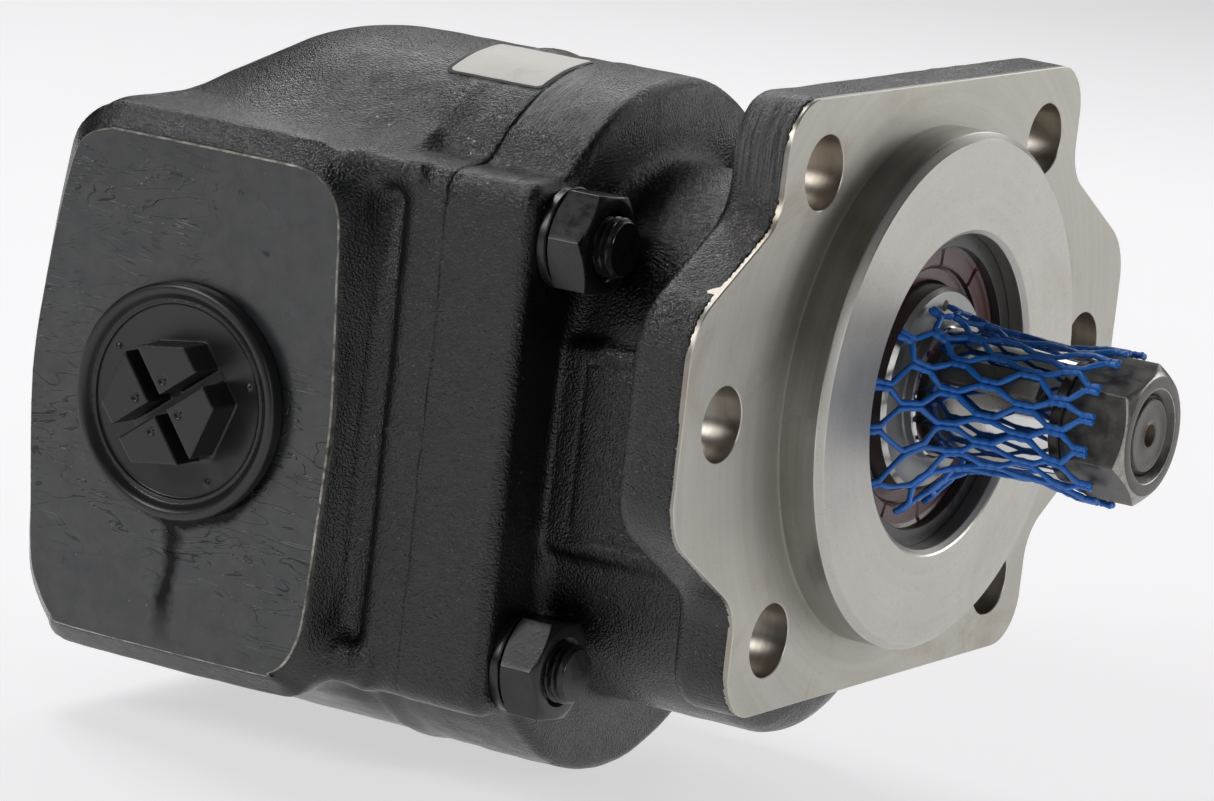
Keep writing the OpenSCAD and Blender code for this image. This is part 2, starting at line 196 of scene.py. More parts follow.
def lumps(shape, h, wave, seed):
    """Smooth random field, about unit size, features of `wave` mm."""
    rng = np.random.default_rng(seed)
    cs = [int(n * h / wave) + 4 for n in shape]
    f = rng.standard_normal(cs)
    for ax in range(3):
        t = np.arange(shape[ax]) * h / wave + 1.0
        i = np.floor(t).astype(int)
        w = t - i
        # Catmull-Rom weights
        ws = [-0.5 * w + w * w - 0.5 * w ** 3, 1 - 2.5 * w * w + 1.5 * w ** 3, 0.5 * w + 2 * w * w - 1.5 * w ** 3, -0.5 * w * w + 0.5 * w ** 3]
        out = 0
        for k in range(4):
            g = np.take(f, np.clip(i - 1 + k, 0, cs[ax] - 1), axis=ax)
            sh = [1, 1, 1]
            sh[ax] = shape[ax]
            out = out + g * ws[k].reshape(sh)
        f = out
    return f.astype(np.float32)


def surface(sdf, lo, h):
    """Closed quad mesh of the zero level."""
    import openvdb

    g = openvdb.FloatGrid(4.0)
    g.copyFromArray(np.ascontiguousarray(np.clip(sdf, -4.0, 4.0).astype(np.float32)), tolerance=0.0)
    pts, quads = g.convertToQuads(isovalue=0.0)
    pts = np.asarray(pts, dtype=np.float64) * h + np.asarray(lo)
    quads = np.asarray(quads, dtype=np.int64)
    return pts, outward(pts, quads)


def axes(lo, hi, h):
    n = [int(math.ceil((b - a) / h)) + 1 for a, b in zip(lo, hi)]
    X = (lo[0] + h * np.arange(n[0])).reshape(-1, 1, 1)
    Y = (lo[1] + h * np.arange(n[1])).reshape(1, -1, 1)
    Z = (lo[2] + h * np.arange(n[2])).reshape(1, 1, -1)
    return n, X, Y, Z


# ------------------------------------------------------------------ material helpers


class Mat:
    def __init__(self, name):
        self.m = bpy.data.materials.new(name)
        self.m.use_nodes = True
        self.nt = self.m.node_tree
        self.nt.nodes.clear()
        self.out = self.nt.nodes.new("ShaderNodeOutputMaterial")
        self.p = self.nt.nodes.new("ShaderNodeBsdfPrincipled")
        self.nt.links.new(self.p.outputs[0], self.out.inputs[0])
        self.tc = self.nt.nodes.new("ShaderNodeTexCoord")
        self.obj = self.tc.outputs["Object"]

    def put(self, sock, v):
        if isinstance(v, bpy.types.NodeSocket):
            self.nt.links.new(v, sock)
        elif isinstance(v, (tuple, list)):
            sock.default_value = (*v, 1.0) if len(v) == 3 and len(sock.default_value) == 4 else v
        else:
            sock.default_value = v

    def set(self, **kw):
        for k, v in kw.items():
            self.put(self.p.inputs[k.replace("_", " ")], v)
        return self

    def scaled(self, s, vec=None):
        n = self.nt.nodes.new("ShaderNodeMapping")
        self.put(n.inputs[0], vec or self.obj)
        n.inputs["Scale"].default_value = s
        return n.outputs[0]

    def noise(self, scale, detail=4.0, rough=0.55, dist=0.0, vec=None):
        n = self.nt.nodes.new("ShaderNodeTexNoise")
        self.put(n.inputs["Vector"], vec or self.obj)
        n.inputs["Scale"].default_value = scale
        n.inputs["Detail"].default_value = detail
        n.inputs["Roughness"].default_value = rough
        n.inputs["Distortion"].default_value = dist
        return n.outputs[0]

    def voronoi(self, scale, feature="F1", vec=None, rand=1.0):
        n = self.nt.nodes.new("ShaderNodeTexVoronoi")
        n.feature = feature
        self.put(n.inputs["Vector"], vec or self.obj)
        n.inputs["Scale"].default_value = scale
        n.inputs["Randomness"].default_value = rand
        return n.outputs["Distance"]

    def math(self, op, a, b=0.0, clamp=False):
        n = self.nt.nodes.new("ShaderNodeMath")
        n.operation = op
        n.use_clamp = clamp
        self.put(n.inputs[0], a)
        self.put(n.inputs[1], b)
        return n.outputs[0]

    def ramp(self, fac, stops, interp="LINEAR"):
        n = self.nt.nodes.new("ShaderNodeValToRGB")
        self.put(n.inputs[0], fac)
        cr = n.color_ramp
        cr.interpolation = interp
        while len(cr.elements) < len(stops):
            cr.elements.new(0.5)
        for e, (pos, c) in zip(cr.elements, stops):
            e.position = pos
            e.color = (*c, 1.0) if isinstance(c, tuple) else (c, c, c, 1.0)
        return n.outputs[0]

    def mix(self, fac, a, b, blend="MIX"):
        n = self.nt.nodes.new("ShaderNodeMix")
        n.data_type = "RGBA"
        n.blend_type = blend
        self.put(n.inputs[0], fac)
        self.put(n.inputs[6], a)
        self.put(n.inputs[7], b)
        return n.outputs[2]

    def mixf(self, fac, a, b):
        n = self.nt.nodes.new("ShaderNodeMix")
        n.data_type = "FLOAT"
        self.put(n.inputs[0], fac)
        self.put(n.inputs[2], a)
        self.put(n.inputs[3], b)
        return n.outputs[0]

    def rng(self, v, a, b, c, d):
        n = self.nt.nodes.new("ShaderNodeMapRange")
        n.clamp = True
        self.put(n.inputs[0], v)
        for i, x in enumerate((a, b, c, d)):
            n.inputs[i + 1].default_value = x
        return n.outputs[0]

    def xyz(self, vec=None):
        n = self.nt.nodes.new("ShaderNodeSeparateXYZ")
        self.put(n.inputs[0], vec or self.obj)
        return n.outputs

    def vec(self, x, y, z):
        n = self.nt.nodes.new("ShaderNodeCombineXYZ")
        self.put(n.inputs[0], x)
        self.put(n.inputs[1], y)
        self.put(n.inputs[2], z)
        return n.outputs[0]

    def bump(self, height, dist, strength=1.0, normal=None):
        n = self.nt.nodes.new("ShaderNodeBump")
        n.inputs["Distance"].default_value = dist
        n.inputs["Strength"].default_value = strength
        self.put(n.inputs["Height"], height)
        if normal is not None:
            self.put(n.inputs["Normal"], normal)
        return n.outputs[0]

    def polar(self, cy=0.0, cz=0.0):
        """Radius and angle about an axis along X, metres and -0.5..0.5 turns."""
        x, y, z = self.xyz()
        y = self.math("SUBTRACT", y, cy)
        z = self.math("SUBTRACT", z, cz)
        r = self.math("SQRT", self.math("ADD", self.math("MULTIPLY", y, y), self.math("MULTIPLY", z, z)))
        a = self.math("ARCTAN2", z, y)
        return x, r, a


def clampf(m, v):
    return m.math("MAXIMUM", m.math("MINIMUM", v, 1.0), 0.0)


# ------------------------------------------------------------------ materials
MATS = {}


def cast_black(name, edge=None, ground=False, rough=0.18, gain=0.65):
    """Semi-gloss black paint over sand-cast iron. edge: X (m) of a machined rim where the paint has chipped."""
    m = Mat(name)
    grain = m.noise(1900, 2.0, 0.55)
    pits = m.noise(3600, 2.0, 0.5)
    big = m.noise(55, 3.0, 0.5)
    mid = m.noise(230, 2.0, 0.5, 0.4)
    coat = m.mix(big, (0.0028, 0.0031, 0.0033), (0.0060, 0.0066, 0.0067))
    dust = m.rng(m.noise(900, 1.0, 0.4), 0.76, 0.80, 0.0, 0.55)
    coat = m.mix(dust, coat, (0.16, 0.155, 0.145))
    rgh = m.rng(m.noise(170, 3.0, 0.6), 0.3, 0.75, rough - 0.07, rough + 0.10)
    x, y, z = m.xyz()
    height = m.math("ADD", m.math("MULTIPLY", grain, 1.0), m.math("ADD", m.math("MULTIPLY", pits, 0.22), m.math("MULTIPLY", mid, 0.55)))
    nrm = m.bump(height, 0.00050 * gain)
    metal = 0.0
    if ground:
        # hand-ground streaks on the crown of the cover's rim
        s = m.noise(1.0, 3.0, 0.75, 0.0, m.scaled((1900, 40, 40)))
        s2 = m.noise(60, 2.0, 0.5)
        area = m.math("MULTIPLY", m.rng(z, 0.0385, 0.046, 0.0, 1.0), m.rng(x, -0.0775, -0.0765, 0.0, 1.0))
        cut = m.math("MULTIPLY", area, m.rng(s2, 0.35, 0.62, 0.25, 1.0))
        wear = m.math("MULTIPLY", cut, m.rng(s, 0.42, 0.60, 0.0, 1.0))
        coat = m.mix(m.math("MULTIPLY", wear, 0.8), coat, (0.16, 0.16, 0.155))
        rgh = m.mixf(m.math("MULTIPLY", cut, 0.6), rgh, 0.30)
    if edge is not None:
        chip_n = m.noise(700, 5.0, 0.7, 0.3)
        dist = m.rng(x, edge - 0.0011, edge, 0.0, 1.0)
        chip = m.rng(m.math("ADD", chip_n, m.math("MULTIPLY", dist, 0.42)), 0.80, 0.86, 0.0, 1.0)
        coat = m.mix(chip, coat, (0.40, 0.375, 0.32))
        rgh = m.mixf(chip, rgh, 0.34)
        metal = m.math("MULTIPLY", chip, 0.85)
    m.set(Base_Color=coat, Roughness=rgh, Normal=nrm, Metallic=metal)
    m.p.inputs["Specular IOR Level"].default_value = 0.62
    return m.m


def machined(name, base=(0.50, 0.487, 0.432), dark=(0.425, 0.414, 0.366), rough=0.46, warm=0.5, lay=1.0, cyl=False):
    """Turned iron or steel, with the lay running round the X axis."""
    m = Mat(name)
    x, r, a = m.polar()
    rings = m.noise(1.0, 4.0, 0.75, 0.0, m.vec(m.math("MULTIPLY", x if cyl else r, 2300.0), m.math("MULTIPLY", a, 1.3), 0.0))
    rings2 = m.noise(1.0, 2.0, 0.6, 0.0, m.vec(m.math("MULTIPLY", x if cyl else r, 420.0), m.math("MULTIPLY", a, 0.7), 3.0))
    cloud = m.noise(38, 4.0, 0.55, 0.3)
    speck = m.noise(1900, 2.0, 0.5)
    rust = m.rng(m.noise(30, 5.0, 0.62, 0.6, m.scaled((1, 1, 1.3))), 0.56, 0.74, 0.0, warm)
    col = m.mix(m.rng(cloud, 0.3, 0.7, 0.0, 1.0), dark, base)
    col = m.mix(m.math("MULTIPLY", m.rng(rings2, 0.35, 0.65, 0.0, 1.0), 0.22 * lay), col, (0.62, 0.61, 0.58))
    col = m.mix(rust, col, (0.30, 0.215, 0.135))
    col = m.mix(m.math("MULTIPLY", m.rng(speck, 0.60, 0.72, 0.0, 1.0), 0.25), col, (0.20, 0.18, 0.15))
    rg = m.rng(m.math("ADD", m.math("MULTIPLY", rings, 0.5), m.math("MULTIPLY", cloud, 0.5)), 0.3, 0.7, rough - 0.05, rough + 0.09)
    h = m.math("ADD", m.math("MULTIPLY", rings, 1.0 * lay), m.math("MULTIPLY", speck, 0.35))
    m.set(Base_Color=col, Roughness=rg, Metallic=0.92, Normal=m.bump(h, 0.00002, 0.55))
    return m.m


def plain_metal(name, c0, c1, rough, metal=1.0, scale=160, bump=0.00002, stretch=None, spec=None):
    m = Mat(name)
    v = m.scaled(stretch) if stretch else None
    n1 = m.noise(scale, 4.0, 0.6, 0.2)
    n2 = m.noise(scale * 7 if not stretch else 1.0, 3.0, 0.6, 0.0, v)
    col = m.mix(m.rng(n1, 0.3, 0.7, 0.0, 1.0), c0, c1)
    rg = m.rng(m.math("ADD", m.math("MULTIPLY", n1, 0.5), m.math("MULTIPLY", n2, 0.5)), 0.3, 0.7, rough * 0.85, rough * 1.2)
    m.set(Base_Color=col, Roughness=rg, Metallic=metal, Normal=m.bump(n2, bump))
    if spec is not None:
        m.p.inputs["Specular IOR Level"].default_value = spec
    return m.m


def oxide(name, c0=(0.018, 0.018, 0.019), c1=(0.045, 0.043, 0.040), rough=0.30, wear=0.35):
    """Blackened steel with rubbed lighter patches."""
    m = Mat(name)
    n1 = m.noise(260, 5.0, 0.65, 0.4)
    n2 = m.noise(1400, 3.0, 0.6)
    n3 = m.noise(90, 4.0, 0.6, 0.8)
    col = m.mix(m.rng(n1, 0.35, 0.7, 0.0, 1.0), c0, c1)
    rub = m.rng(m.math("ADD", m.math("MULTIPLY", n3, 0.65), m.math("MULTIPLY", n1, 0.35)), 0.54, 0.68, 0.0, wear)
    col = m.mix(rub, col, (0.11, 0.105, 0.095))
    m.set(Base_Color=col, Roughness=m.rng(n1, 0.3, 0.7, rough - 0.06, rough + 0.12), Metallic=0.35,
          Normal=m.bump(m.math("ADD", m.math("MULTIPLY", n2, 0.5), n1), 0.00004))
    m.p.inputs["Specular IOR Level"].default_value = 0.7
    return m.m


def moulded(name, c0, c1, rough=0.33, scale=500, bump=0.00003, spec=0.5):
    m = Mat(name)
    n1 = m.noise(scale, 3.0, 0.55)
    n2 = m.noise(70, 3.0, 0.5, 0.3)
    col = m.mix(m.rng(n2, 0.3, 0.7, 0.0, 1.0), c0, c1)
    m.set(Base_Color=col, Roughness=m.rng(n2, 0.3, 0.7, rough - 0.06, rough + 0.08), Normal=m.bump(n1, bump))
    m.p.inputs["Specular IOR Level"].default_value = spec
    return m.m


def pad_paint(name):
    """Painted machined port face: smooth, faint grain, scratches and oil marks."""
    m = Mat(name)
    fine = m.noise(1.0, 3.0, 0.6, 0.0, m.scaled((500, 500, 2600)))
    grain = m.noise(1300, 2.0, 0.5)
    big = m.noise(40, 4.0, 0.55, 0.5)
    scr = m.noise(1.0, 2.0, 0.6, 1.2, m.scaled((55, 55, 260)))
    line = m.rng(m.math("ABSOLUTE", m.math("SUBTRACT", scr, 0.5)), 0.0, 0.014, 1.0, 0.0)
    few = m.rng(m.noise(28, 2.0, 0.5, 0.0), 0.44, 0.60, 0.0, 1.0)
    marks = m.math("MULTIPLY", line, few)
    col = m.mix(m.rng(big, 0.3, 0.7, 0.0, 1.0), (0.013, 0.0150, 0.0160), (0.026, 0.0290, 0.0305))
    col = m.mix(m.math("MULTIPLY", marks, 0.6), col, (0.004, 0.004, 0.004))
    dust = m.rng(m.noise(1000, 1.0, 0.4), 0.77, 0.80, 0.0, 0.6)
    col = m.mix(dust, col, (0.20, 0.19, 0.18))
    # drip of oil under the plug
    x, y, z = m.xyz()
    wob = m.noise(160, 3.0, 0.6)
    dx = m.math("ABSOLUTE", m.math("ADD", m.math("SUBTRACT", x, -0.1285), m.math("MULTIPLY", m.math("SUBTRACT", wob, 0.5), 0.006)))
    drip = m.math("MULTIPLY", m.rng(dx, 0.0008, 0.0030, 1.0, 0.0), m.math("MULTIPLY", m.rng(z, -0.0450, -0.0460, 0.0, 1.0), m.rng(z, -0.072, -0.063, 0.0, 1.0)))
    cx = m.math("SUBTRACT", x, -0.1285)
    cz = m.math("SUBTRACT", z, -0.0221)
    rr = m.math("SQRT", m.math("ADD", m.math("MULTIPLY", cx, cx), m.math("MULTIPLY", cz, cz)))
    wet = m.math("MULTIPLY", m.rng(m.math("ADD", rr, m.math("MULTIPLY", m.math("SUBTRACT", wob, 0.5), 0.004)), 0.0245, 0.0258, 1.0, 0.0), m.rng(cz, -0.004, -0.014, 0.0, 1.0))
    oil = clampf(m, m.math("ADD", drip, wet))
    col = m.mix(oil, col, (0.004, 0.004, 0.0045))
    rgh = m.mixf(oil, m.rng(big, 0.3, 0.7, 0.24, 0.36), 0.06)
    h = m.math("ADD", m.math("MULTIPLY", fine, 0.35), m.math("ADD", m.math("MULTIPLY", grain, 0.5), m.math("MULTIPLY", marks, -1.5)))
    smut = m.math("MULTIPLY", m.rng(m.noise(330, 5.0, 0.72, 0.6), 0.60, 0.68, 0.0, 1.0), m.rng(m.noise(36, 2.0, 0.5, 0.0), 0.50, 0.60, 0.0, 1.0))
    mott = m.rng(m.noise(210, 4.0, 0.65, 0.4), 0.3, 0.7, 0.0, 1.0)
    lvl = m.mixf(clampf(m, m.math("ADD", m.math("MULTIPLY", marks, 0.7), m.math("MULTIPLY", smut, 0.75))), m.mixf(mott, 0.74, 0.98), 0.12)
    lvl = m.mixf(oil, lvl, 0.16)
    m.set(Base_Color=col, Roughness=rgh, Normal=m.bump(h, 0.00003), Specular_IOR_Level=lvl)
    return m.m


def worn_edge(name):
    """Bare metal showing through black paint in chips."""
    m = Mat(name)
    n = m.noise(330, 5.0, 0.7, 0.4)
    f = m.rng(n, 0.40, 0.62, 0.15, 1.0)
    m.set(Base_Color=m.mix(f, (0.03, 0.03, 0.03), (0.50, 0.48, 0.42)), Roughness=m.rng(n, 0.3, 0.7, 0.45, 0.32), Metallic=m.math("MULTIPLY", f, 0.8),
          Normal=m.bump(n, 0.0001))
    return m.m


def label_paper(name):
    m = Mat(name)
    n = m.noise(900, 3.0, 0.6)
    big = m.noise(60, 4.0, 0.6, 0.4)
    dirt = m.rng(m.noise(140, 5.0, 0.7, 0.5), 0.55, 0.75, 0.0, 0.35)
    col = m.mix(m.rng(big, 0.3, 0.7, 0.0, 1.0), (0.86, 0.835, 0.765), (0.93, 0.91, 0.85))
    col = m.mix(dirt, col, (0.56, 0.53, 0.45))
    m.set(Base_Color=col, Roughness=m.rng(big, 0.3, 0.7, 0.38, 0.5), Normal=m.bump(n, 0.00002))
    return m.m


MATS["cover_paint"] = cast_black("cover_paint", edge=-0.0004, ground=True)
MATS["housing_paint"] = cast_black("housing_paint")
MATS["flange_metal"] = machined("flange_metal")
MATS["pilot_metal"] = machined("pilot_metal", (0.56, 0.548, 0.505), (0.48, 0.47, 0.43), 0.42, 0.25)
MATS["wall_metal"] = machined("wall_metal", (0.36, 0.355, 0.325), (0.25, 0.245, 0.22), 0.32, 0.3, 1.0, True)
MATS["hole_metal"] = machined("hole_metal", (0.36, 0.33, 0.28), (0.24, 0.215, 0.18), 0.33, 0.7, 1.0, True)
MATS["bright_edge"] = plain_metal("bright_edge", (0.48, 0.47, 0.44), (0.60, 0.59, 0.56), 0.30)
MATS["pad_paint"] = pad_paint("pad_paint")
MATS["worn_edge"] = worn_edge("worn_edge")
MATS["cavity_iron"] = plain_metal("cavity_iron", (0.25, 0.25, 0.25), (0.34, 0.33, 0.32), 0.4, 0.9)
MATS["black_steel"] = oxide("black_steel", (0.012, 0.012, 0.013), (0.024, 0.024, 0.025), 0.27, 0.10)
MATS["nut_oxide"] = oxide("nut_oxide", (0.050, 0.050, 0.045), (0.095, 0.092, 0.082), 0.30, 0.6)
MATS["rubbed_edge"] = plain_metal("rubbed_edge", (0.24, 0.23, 0.21), (0.46, 0.45, 0.42), 0.30, 0.95, 700)
MATS["taper_steel"] = plain_metal("taper_steel", (0.60, 0.60, 0.60), (0.68, 0.68, 0.67), 0.10, 1.0, 120, 0.000004, (2600, 60, 60))
MATS["collar_steel"] = plain_metal("collar_steel", (0.27, 0.275, 0.275), (0.34, 0.345, 0.34), 0.40, 0.9, 90, 0.000012)
MATS["thread_steel"] = oxide("thread_steel", (0.03, 0.028, 0.026), (0.075, 0.07, 0.062), 0.32, 0.5)
MATS["rust_dark"] = plain_metal("rust_dark", (0.05, 0.035, 0.022), (0.12, 0.085, 0.055), 0.55, 0.5)
MATS["seal_maroon"] = moulded("seal_maroon", (0.060, 0.014, 0.013), (0.105, 0.024, 0.021), 0.30, 700, 0.00003, 0.7)
MATS["seal_dark"] = moulded("seal_dark", (0.020, 0.008, 0.008), (0.045, 0.014, 0.013), 0.30, 700, 0.00003, 0.6)
MATS["ring_steel"] = oxide("ring_steel", (0.03, 0.03, 0.03), (0.055, 0.055, 0.052), 0.30, 0.3)
MATS["washer_brown"] = oxide("washer_brown", (0.020, 0.017, 0.014), (0.045, 0.035, 0.026), 0.34, 0.25)
MATS["plug_plastic"] = moulded("plug_plastic", (0.0105, 0.0105, 0.011), (0.017, 0.017, 0.018), 0.34, 420, 0.00003, 0.55)
MATS["net_blue"] = moulded("net_blue", (0.008, 0.125, 0.47), (0.014, 0.165, 0.60), 0.36, 600, 0.00003, 0.5)
MATS["label_paper"] = label_paper("label_paper")
# near-black matte material of the strip round the label: painted shade along the label's edge
MATS["label_border_painted_shade"] = moulded("label_border_painted_shade", (0.010, 0.010, 0.010), (0.03, 0.028, 0.025), 0.45, 600)

M = MATS

# ------------------------------------------------------------------ outlines shared with the CAD


def flange_pts():
    """Mounting-flange outline (Y, Z), counter-clockwise from the right-hand ear."""
    q = arc(74.5, 12.6, 13, 0, 58.66, 12)
    q += arc(69.3, 42.7, 10, 238.66, 180, 12)
    q += arc(49.3, 49.3, 10, 0, 90, 12)
    up = q + [(-y, z) for y, z in reversed(q)]
    return up + [(y, -z) for y, z in reversed(up)]


def joint_pts(g=0.0):
    """Joint-face outline (Y, Z)."""
    fy = 40.67
    q = arc(47, 27.5, 5 + g, 0, 90, 6)
    q += arc(fy, 38.5, 6 - g, 270, 180 + math.degrees(math.atan2(38.5, fy)), 8)
    a0 = math.degrees(math.atan2(38.5, fy))
    q += arc(0, 0, 50 + g, a0, 90, 22)
    up = q + [(-y, z) for y, z in reversed(q[:-1])]
    return up + [(y, -40 - z) for y, z in reversed(up)]


PAD = [(-157, 26.4), (-154.8, 27.4), (-152.4, 28), (-148, 28.3), (-112, 28.3), (-107.3, 28.1), (-103, 27.0), (-99.8, 24.6), (-97.5, 20.5), (-96.6, 14), (-96.2, 8), (-95.0, -7),
       (-94.2, -21), (-94.9, -41), (-95.7, -57), (-96.6, -63.5), (-99.0, -69.0), (-102.5, -71.9), (-106, -72.7), (-150, -72.7), (-155.3, -71.3), (-158.8, -66.9), (-161.5, -61),
       (-163, -49), (-165.5, -23), (-164.2, -2.5), (-162.5, 10.8), (-160.4, 21.5), (-159, 24.6)]
PAD = PAD[::-1]
PORT = (-128.5, -22.1)
HOLES = [(s * 44.9, t * 44.9) for s in (-1, 1) for t in (-1, 1)] + [(-73.0, 0.0), (73.0, 0.0)]
STUDS = [(s * 40.0, z) for s in (-1, 1) for z in (22.0, -62.0)]


def smooth_closed(pts, n=6):
    """Catmull-Rom through a closed list of points."""
    out = []
    k = len(pts)
    for i in range(k):
        p0, p1, p2, p3 = (np.array(pts[(i + j) % k], float) for j in (-1, 0, 1, 2))
        for j in range(n):
            t = j / n
            out.append(tuple(0.5 * (2 * p1 + (p2 - p0) * t + (2 * p0 - 5 * p1 + 4 * p2 - p3) * t * t + (3 * p1 - p0 - 3 * p2 + p3) * t ** 3)))
    return out


PADS = smooth_closed(PAD, 4)

# ------------------------------------------------------------------ exact plates with holes


def plate(name, outline, holes, x0, x1, bev, mats, plane="x", bev_back=False):
    """Flat plate with a crisp bevelled outline and holes. plane x: outline is (Y, Z); plane y: outline is (X, Z), x0..x1 along Y.
    Slots: 0 face, 1 bevel, 2 side and hole walls."""
    from mathutils.geometry import delaunay_2d_cdt

    loops = [outline] + holes
    sign = 1 if x1 > x0 else -1

    def inset(pts, d):
        """Offset towards the material: inwards for the outline, outwards for a hole (given clockwise)."""
        p = np.array(pts, float)
        e = np.roll(p, -1, 0) - p
        e /= np.linalg.norm(e, axis=1)[:, None] + 1e-12
        nrm = np.stack([-e[:, 1], e[:, 0]], 1)
        n0 = np.roll(nrm, 1, 0)
        m = nrm + n0
        m /= (np.linalg.norm(m, axis=1)[:, None] + 1e-12)
        c = np.maximum((m * nrm).sum(1), 0.5)
        return p + m * (d / c)[:, None]

    def area(pts):
        p = np.array(pts, float)
        q = np.roll(p, -1, 0)
        return 0.5 * np.sum(p[:, 0] * q[:, 1] - q[:, 0] * p[:, 1])

    fixed = []
    for i, lp in enumerate(loops):
        a = area(lp)
        fixed.append(lp[::-1] if (i == 0 and a < 0) or (i > 0 and a > 0) else lp)
    verts, faces, idx = [], [], []

    def add(p2, w):
        base = len(verts)
        for a, b in p2:
            verts.append((w, a, b) if plane == "x" else (a, w, b))
        return base

    flat_loops = []
    for lp in fixed:
        n = len(lp)
        b0 = add(lp, x0)
        b1 = add(lp, x1 - sign * bev)
        pin = inset(lp, bev)
        b2 = add(pin, x1)
        flat_loops.append((b2, n, pin))
        for i in range(n):
            j = (i + 1) % n
            faces.append((b0 + i, b0 + j, b1 + j, b1 + i))
            idx.append(2)
            faces.append((b1 + i, b1 + j, b2 + j, b2 + i))
            idx.append(1)
    co, edges, ids = [], [], []
    for b, n, pin in flat_loops:
        s = len(co)
        for i in range(n):
            co.append(Vector((float(pin[i][0]), float(pin[i][1]))))
            ids.append(b + i)
            edges.append((s + i, s + (i + 1) % n))
    vo, eo, fo, ov, oe, of = delaunay_2d_cdt(co, edges, [], 2, 1e-6)
    remap = {}
    for i, src in enumerate(ov):
        if src:
            remap[i] = ids[src[0]]
        else:
            verts.append((x1, vo[i].x, vo[i].y) if plane == "x" else (vo[i].x, x1, vo[i].y))
            remap[i] = len(verts) - 1
    hl = [np.array(p) for _, _, p in flat_loops]
    for f in fo:
        c = sum((vo[i] for i in f), Vector((0, 0))) / len(f)
        inside = poly2([tuple(q) for q in hl[0]], np.array([c.x]), np.array([c.y]))[0] < 0
        if inside:
            for h in hl[1:]:
                if poly2([tuple(q) for q in h], np.array([c.x]), np.array([c.y]))[0] < 0:
                    inside = False
                    break
        if inside:
            faces.append(tuple(remap[i] for i in f))
            idx.append(0)
    ob = new_mesh(name, verts, faces, mats, idx, sharp=None, smooth=False)
    # make the faces look along the plate's outer side
    import bmesh

    bm = bmesh.new()
    bm.from_mesh(ob.data)
    bmesh.ops.recalc_face_normals(bm, faces=bm.faces)
    ref = [f for f in bm.faces if f.material_index == 0]
    k = 0 if plane == "x" else 1
    if sum(f.normal[k] * f.calc_area() for f in ref) * sign < 0:
        bmesh.ops.reverse_faces(bm, faces=bm.faces)
    bm.to_mesh(ob.data)
    bm.free()
    ob.data.polygons.foreach_set("use_smooth", np.ones(len(ob.data.polygons), dtype=bool))
    ob.data.set_sharp_from_angle(angle=math.radians(28))
    return ob


def lathe(name, prof, mats, segs=160, cy=0.0, cz=0.0, closed=False, axis="x", origin=(0, 0, 0), shape=None, sharp=30):
    """prof: list of (radius, along, slot) in mm, slot being that of the band that starts there. shape(angle, k, r, x) may change a point."""
    n = len(prof)
    th = np.linspace(0, 2 * pi, segs, endpoint=False)
    verts = np.zeros((n, segs, 3))
    for k, (r, x, _) in enumerate(prof):
        rr = np.full(segs, float(r))
        xx = np.full(segs, float(x))
        if shape is not None:
            rr, xx = shape(th, k, rr, xx)
        if axis == "x":
            verts[k, :, 0], verts[k, :, 1], verts[k, :, 2] = xx, cy + rr * np.cos(th), cz + rr * np.sin(th)
        else:
            s = -1 if axis == "-y" else 1
            verts[k, :, 0], verts[k, :, 1], verts[k, :, 2] = origin[0] + rr * np.cos(th), origin[1] + s * xx, origin[2] + rr * np.sin(th)
    verts = verts.reshape(-1, 3)
    faces, idx = [], []
    rows = n if closed else n - 1
    for k in range(rows):
        k2 = (k + 1) % n
        if prof[k][0] < 1e-9 and prof[k2][0] < 1e-9:
            continue
        for i in range(segs):
            j = (i + 1) % segs
            if prof[k][0] < 1e-9:
                faces.append((k * segs, k2 * segs + j, k2 * segs + i))
            elif prof[k2][0] < 1e-9:
                faces.append((k * segs + i, k * segs + j, k2 * segs))
            else:
                faces.append((k * segs + i, k * segs + j, k2 * segs + j, k2 * segs + i))
            idx.append(prof[k][2])
    # remove doubled centre points
    used = sorted({v for f in faces for v in f})
    mp = {v: i for i, v in enumerate(used)}
    faces = [tuple(mp[v] for v in f) for f in faces]
    ob = new_mesh(name, verts[used], faces, mats, idx)
    import bmesh

    bm = bmesh.new()
    bm.from_mesh(ob.data)
    bmesh.ops.recalc_face_normals(bm, faces=bm.faces)
    if closed or (prof[0][0] < 1e-9 and prof[-1][0] < 1e-9):
        if bm.calc_volume(signed=True) < 0:
            bmesh.ops.reverse_faces(bm, faces=bm.faces)
    bm.to_mesh(ob.data)
    bm.free()
    ob.data.polygons.foreach_set("use_smooth", np.ones(len(ob.data.polygons), dtype=bool))
    ob.data.set_sharp_from_angle(angle=math.radians(sharp))
    return ob


def circle_pts(cx, cy, r, n=64):
    return [(cx + r * math.cos(2 * pi * i / n), cy + r * math.sin(2 * pi * i / n)) for i in range(n)]


# ------------------------------------------------------------------ front cover
H = 0.8


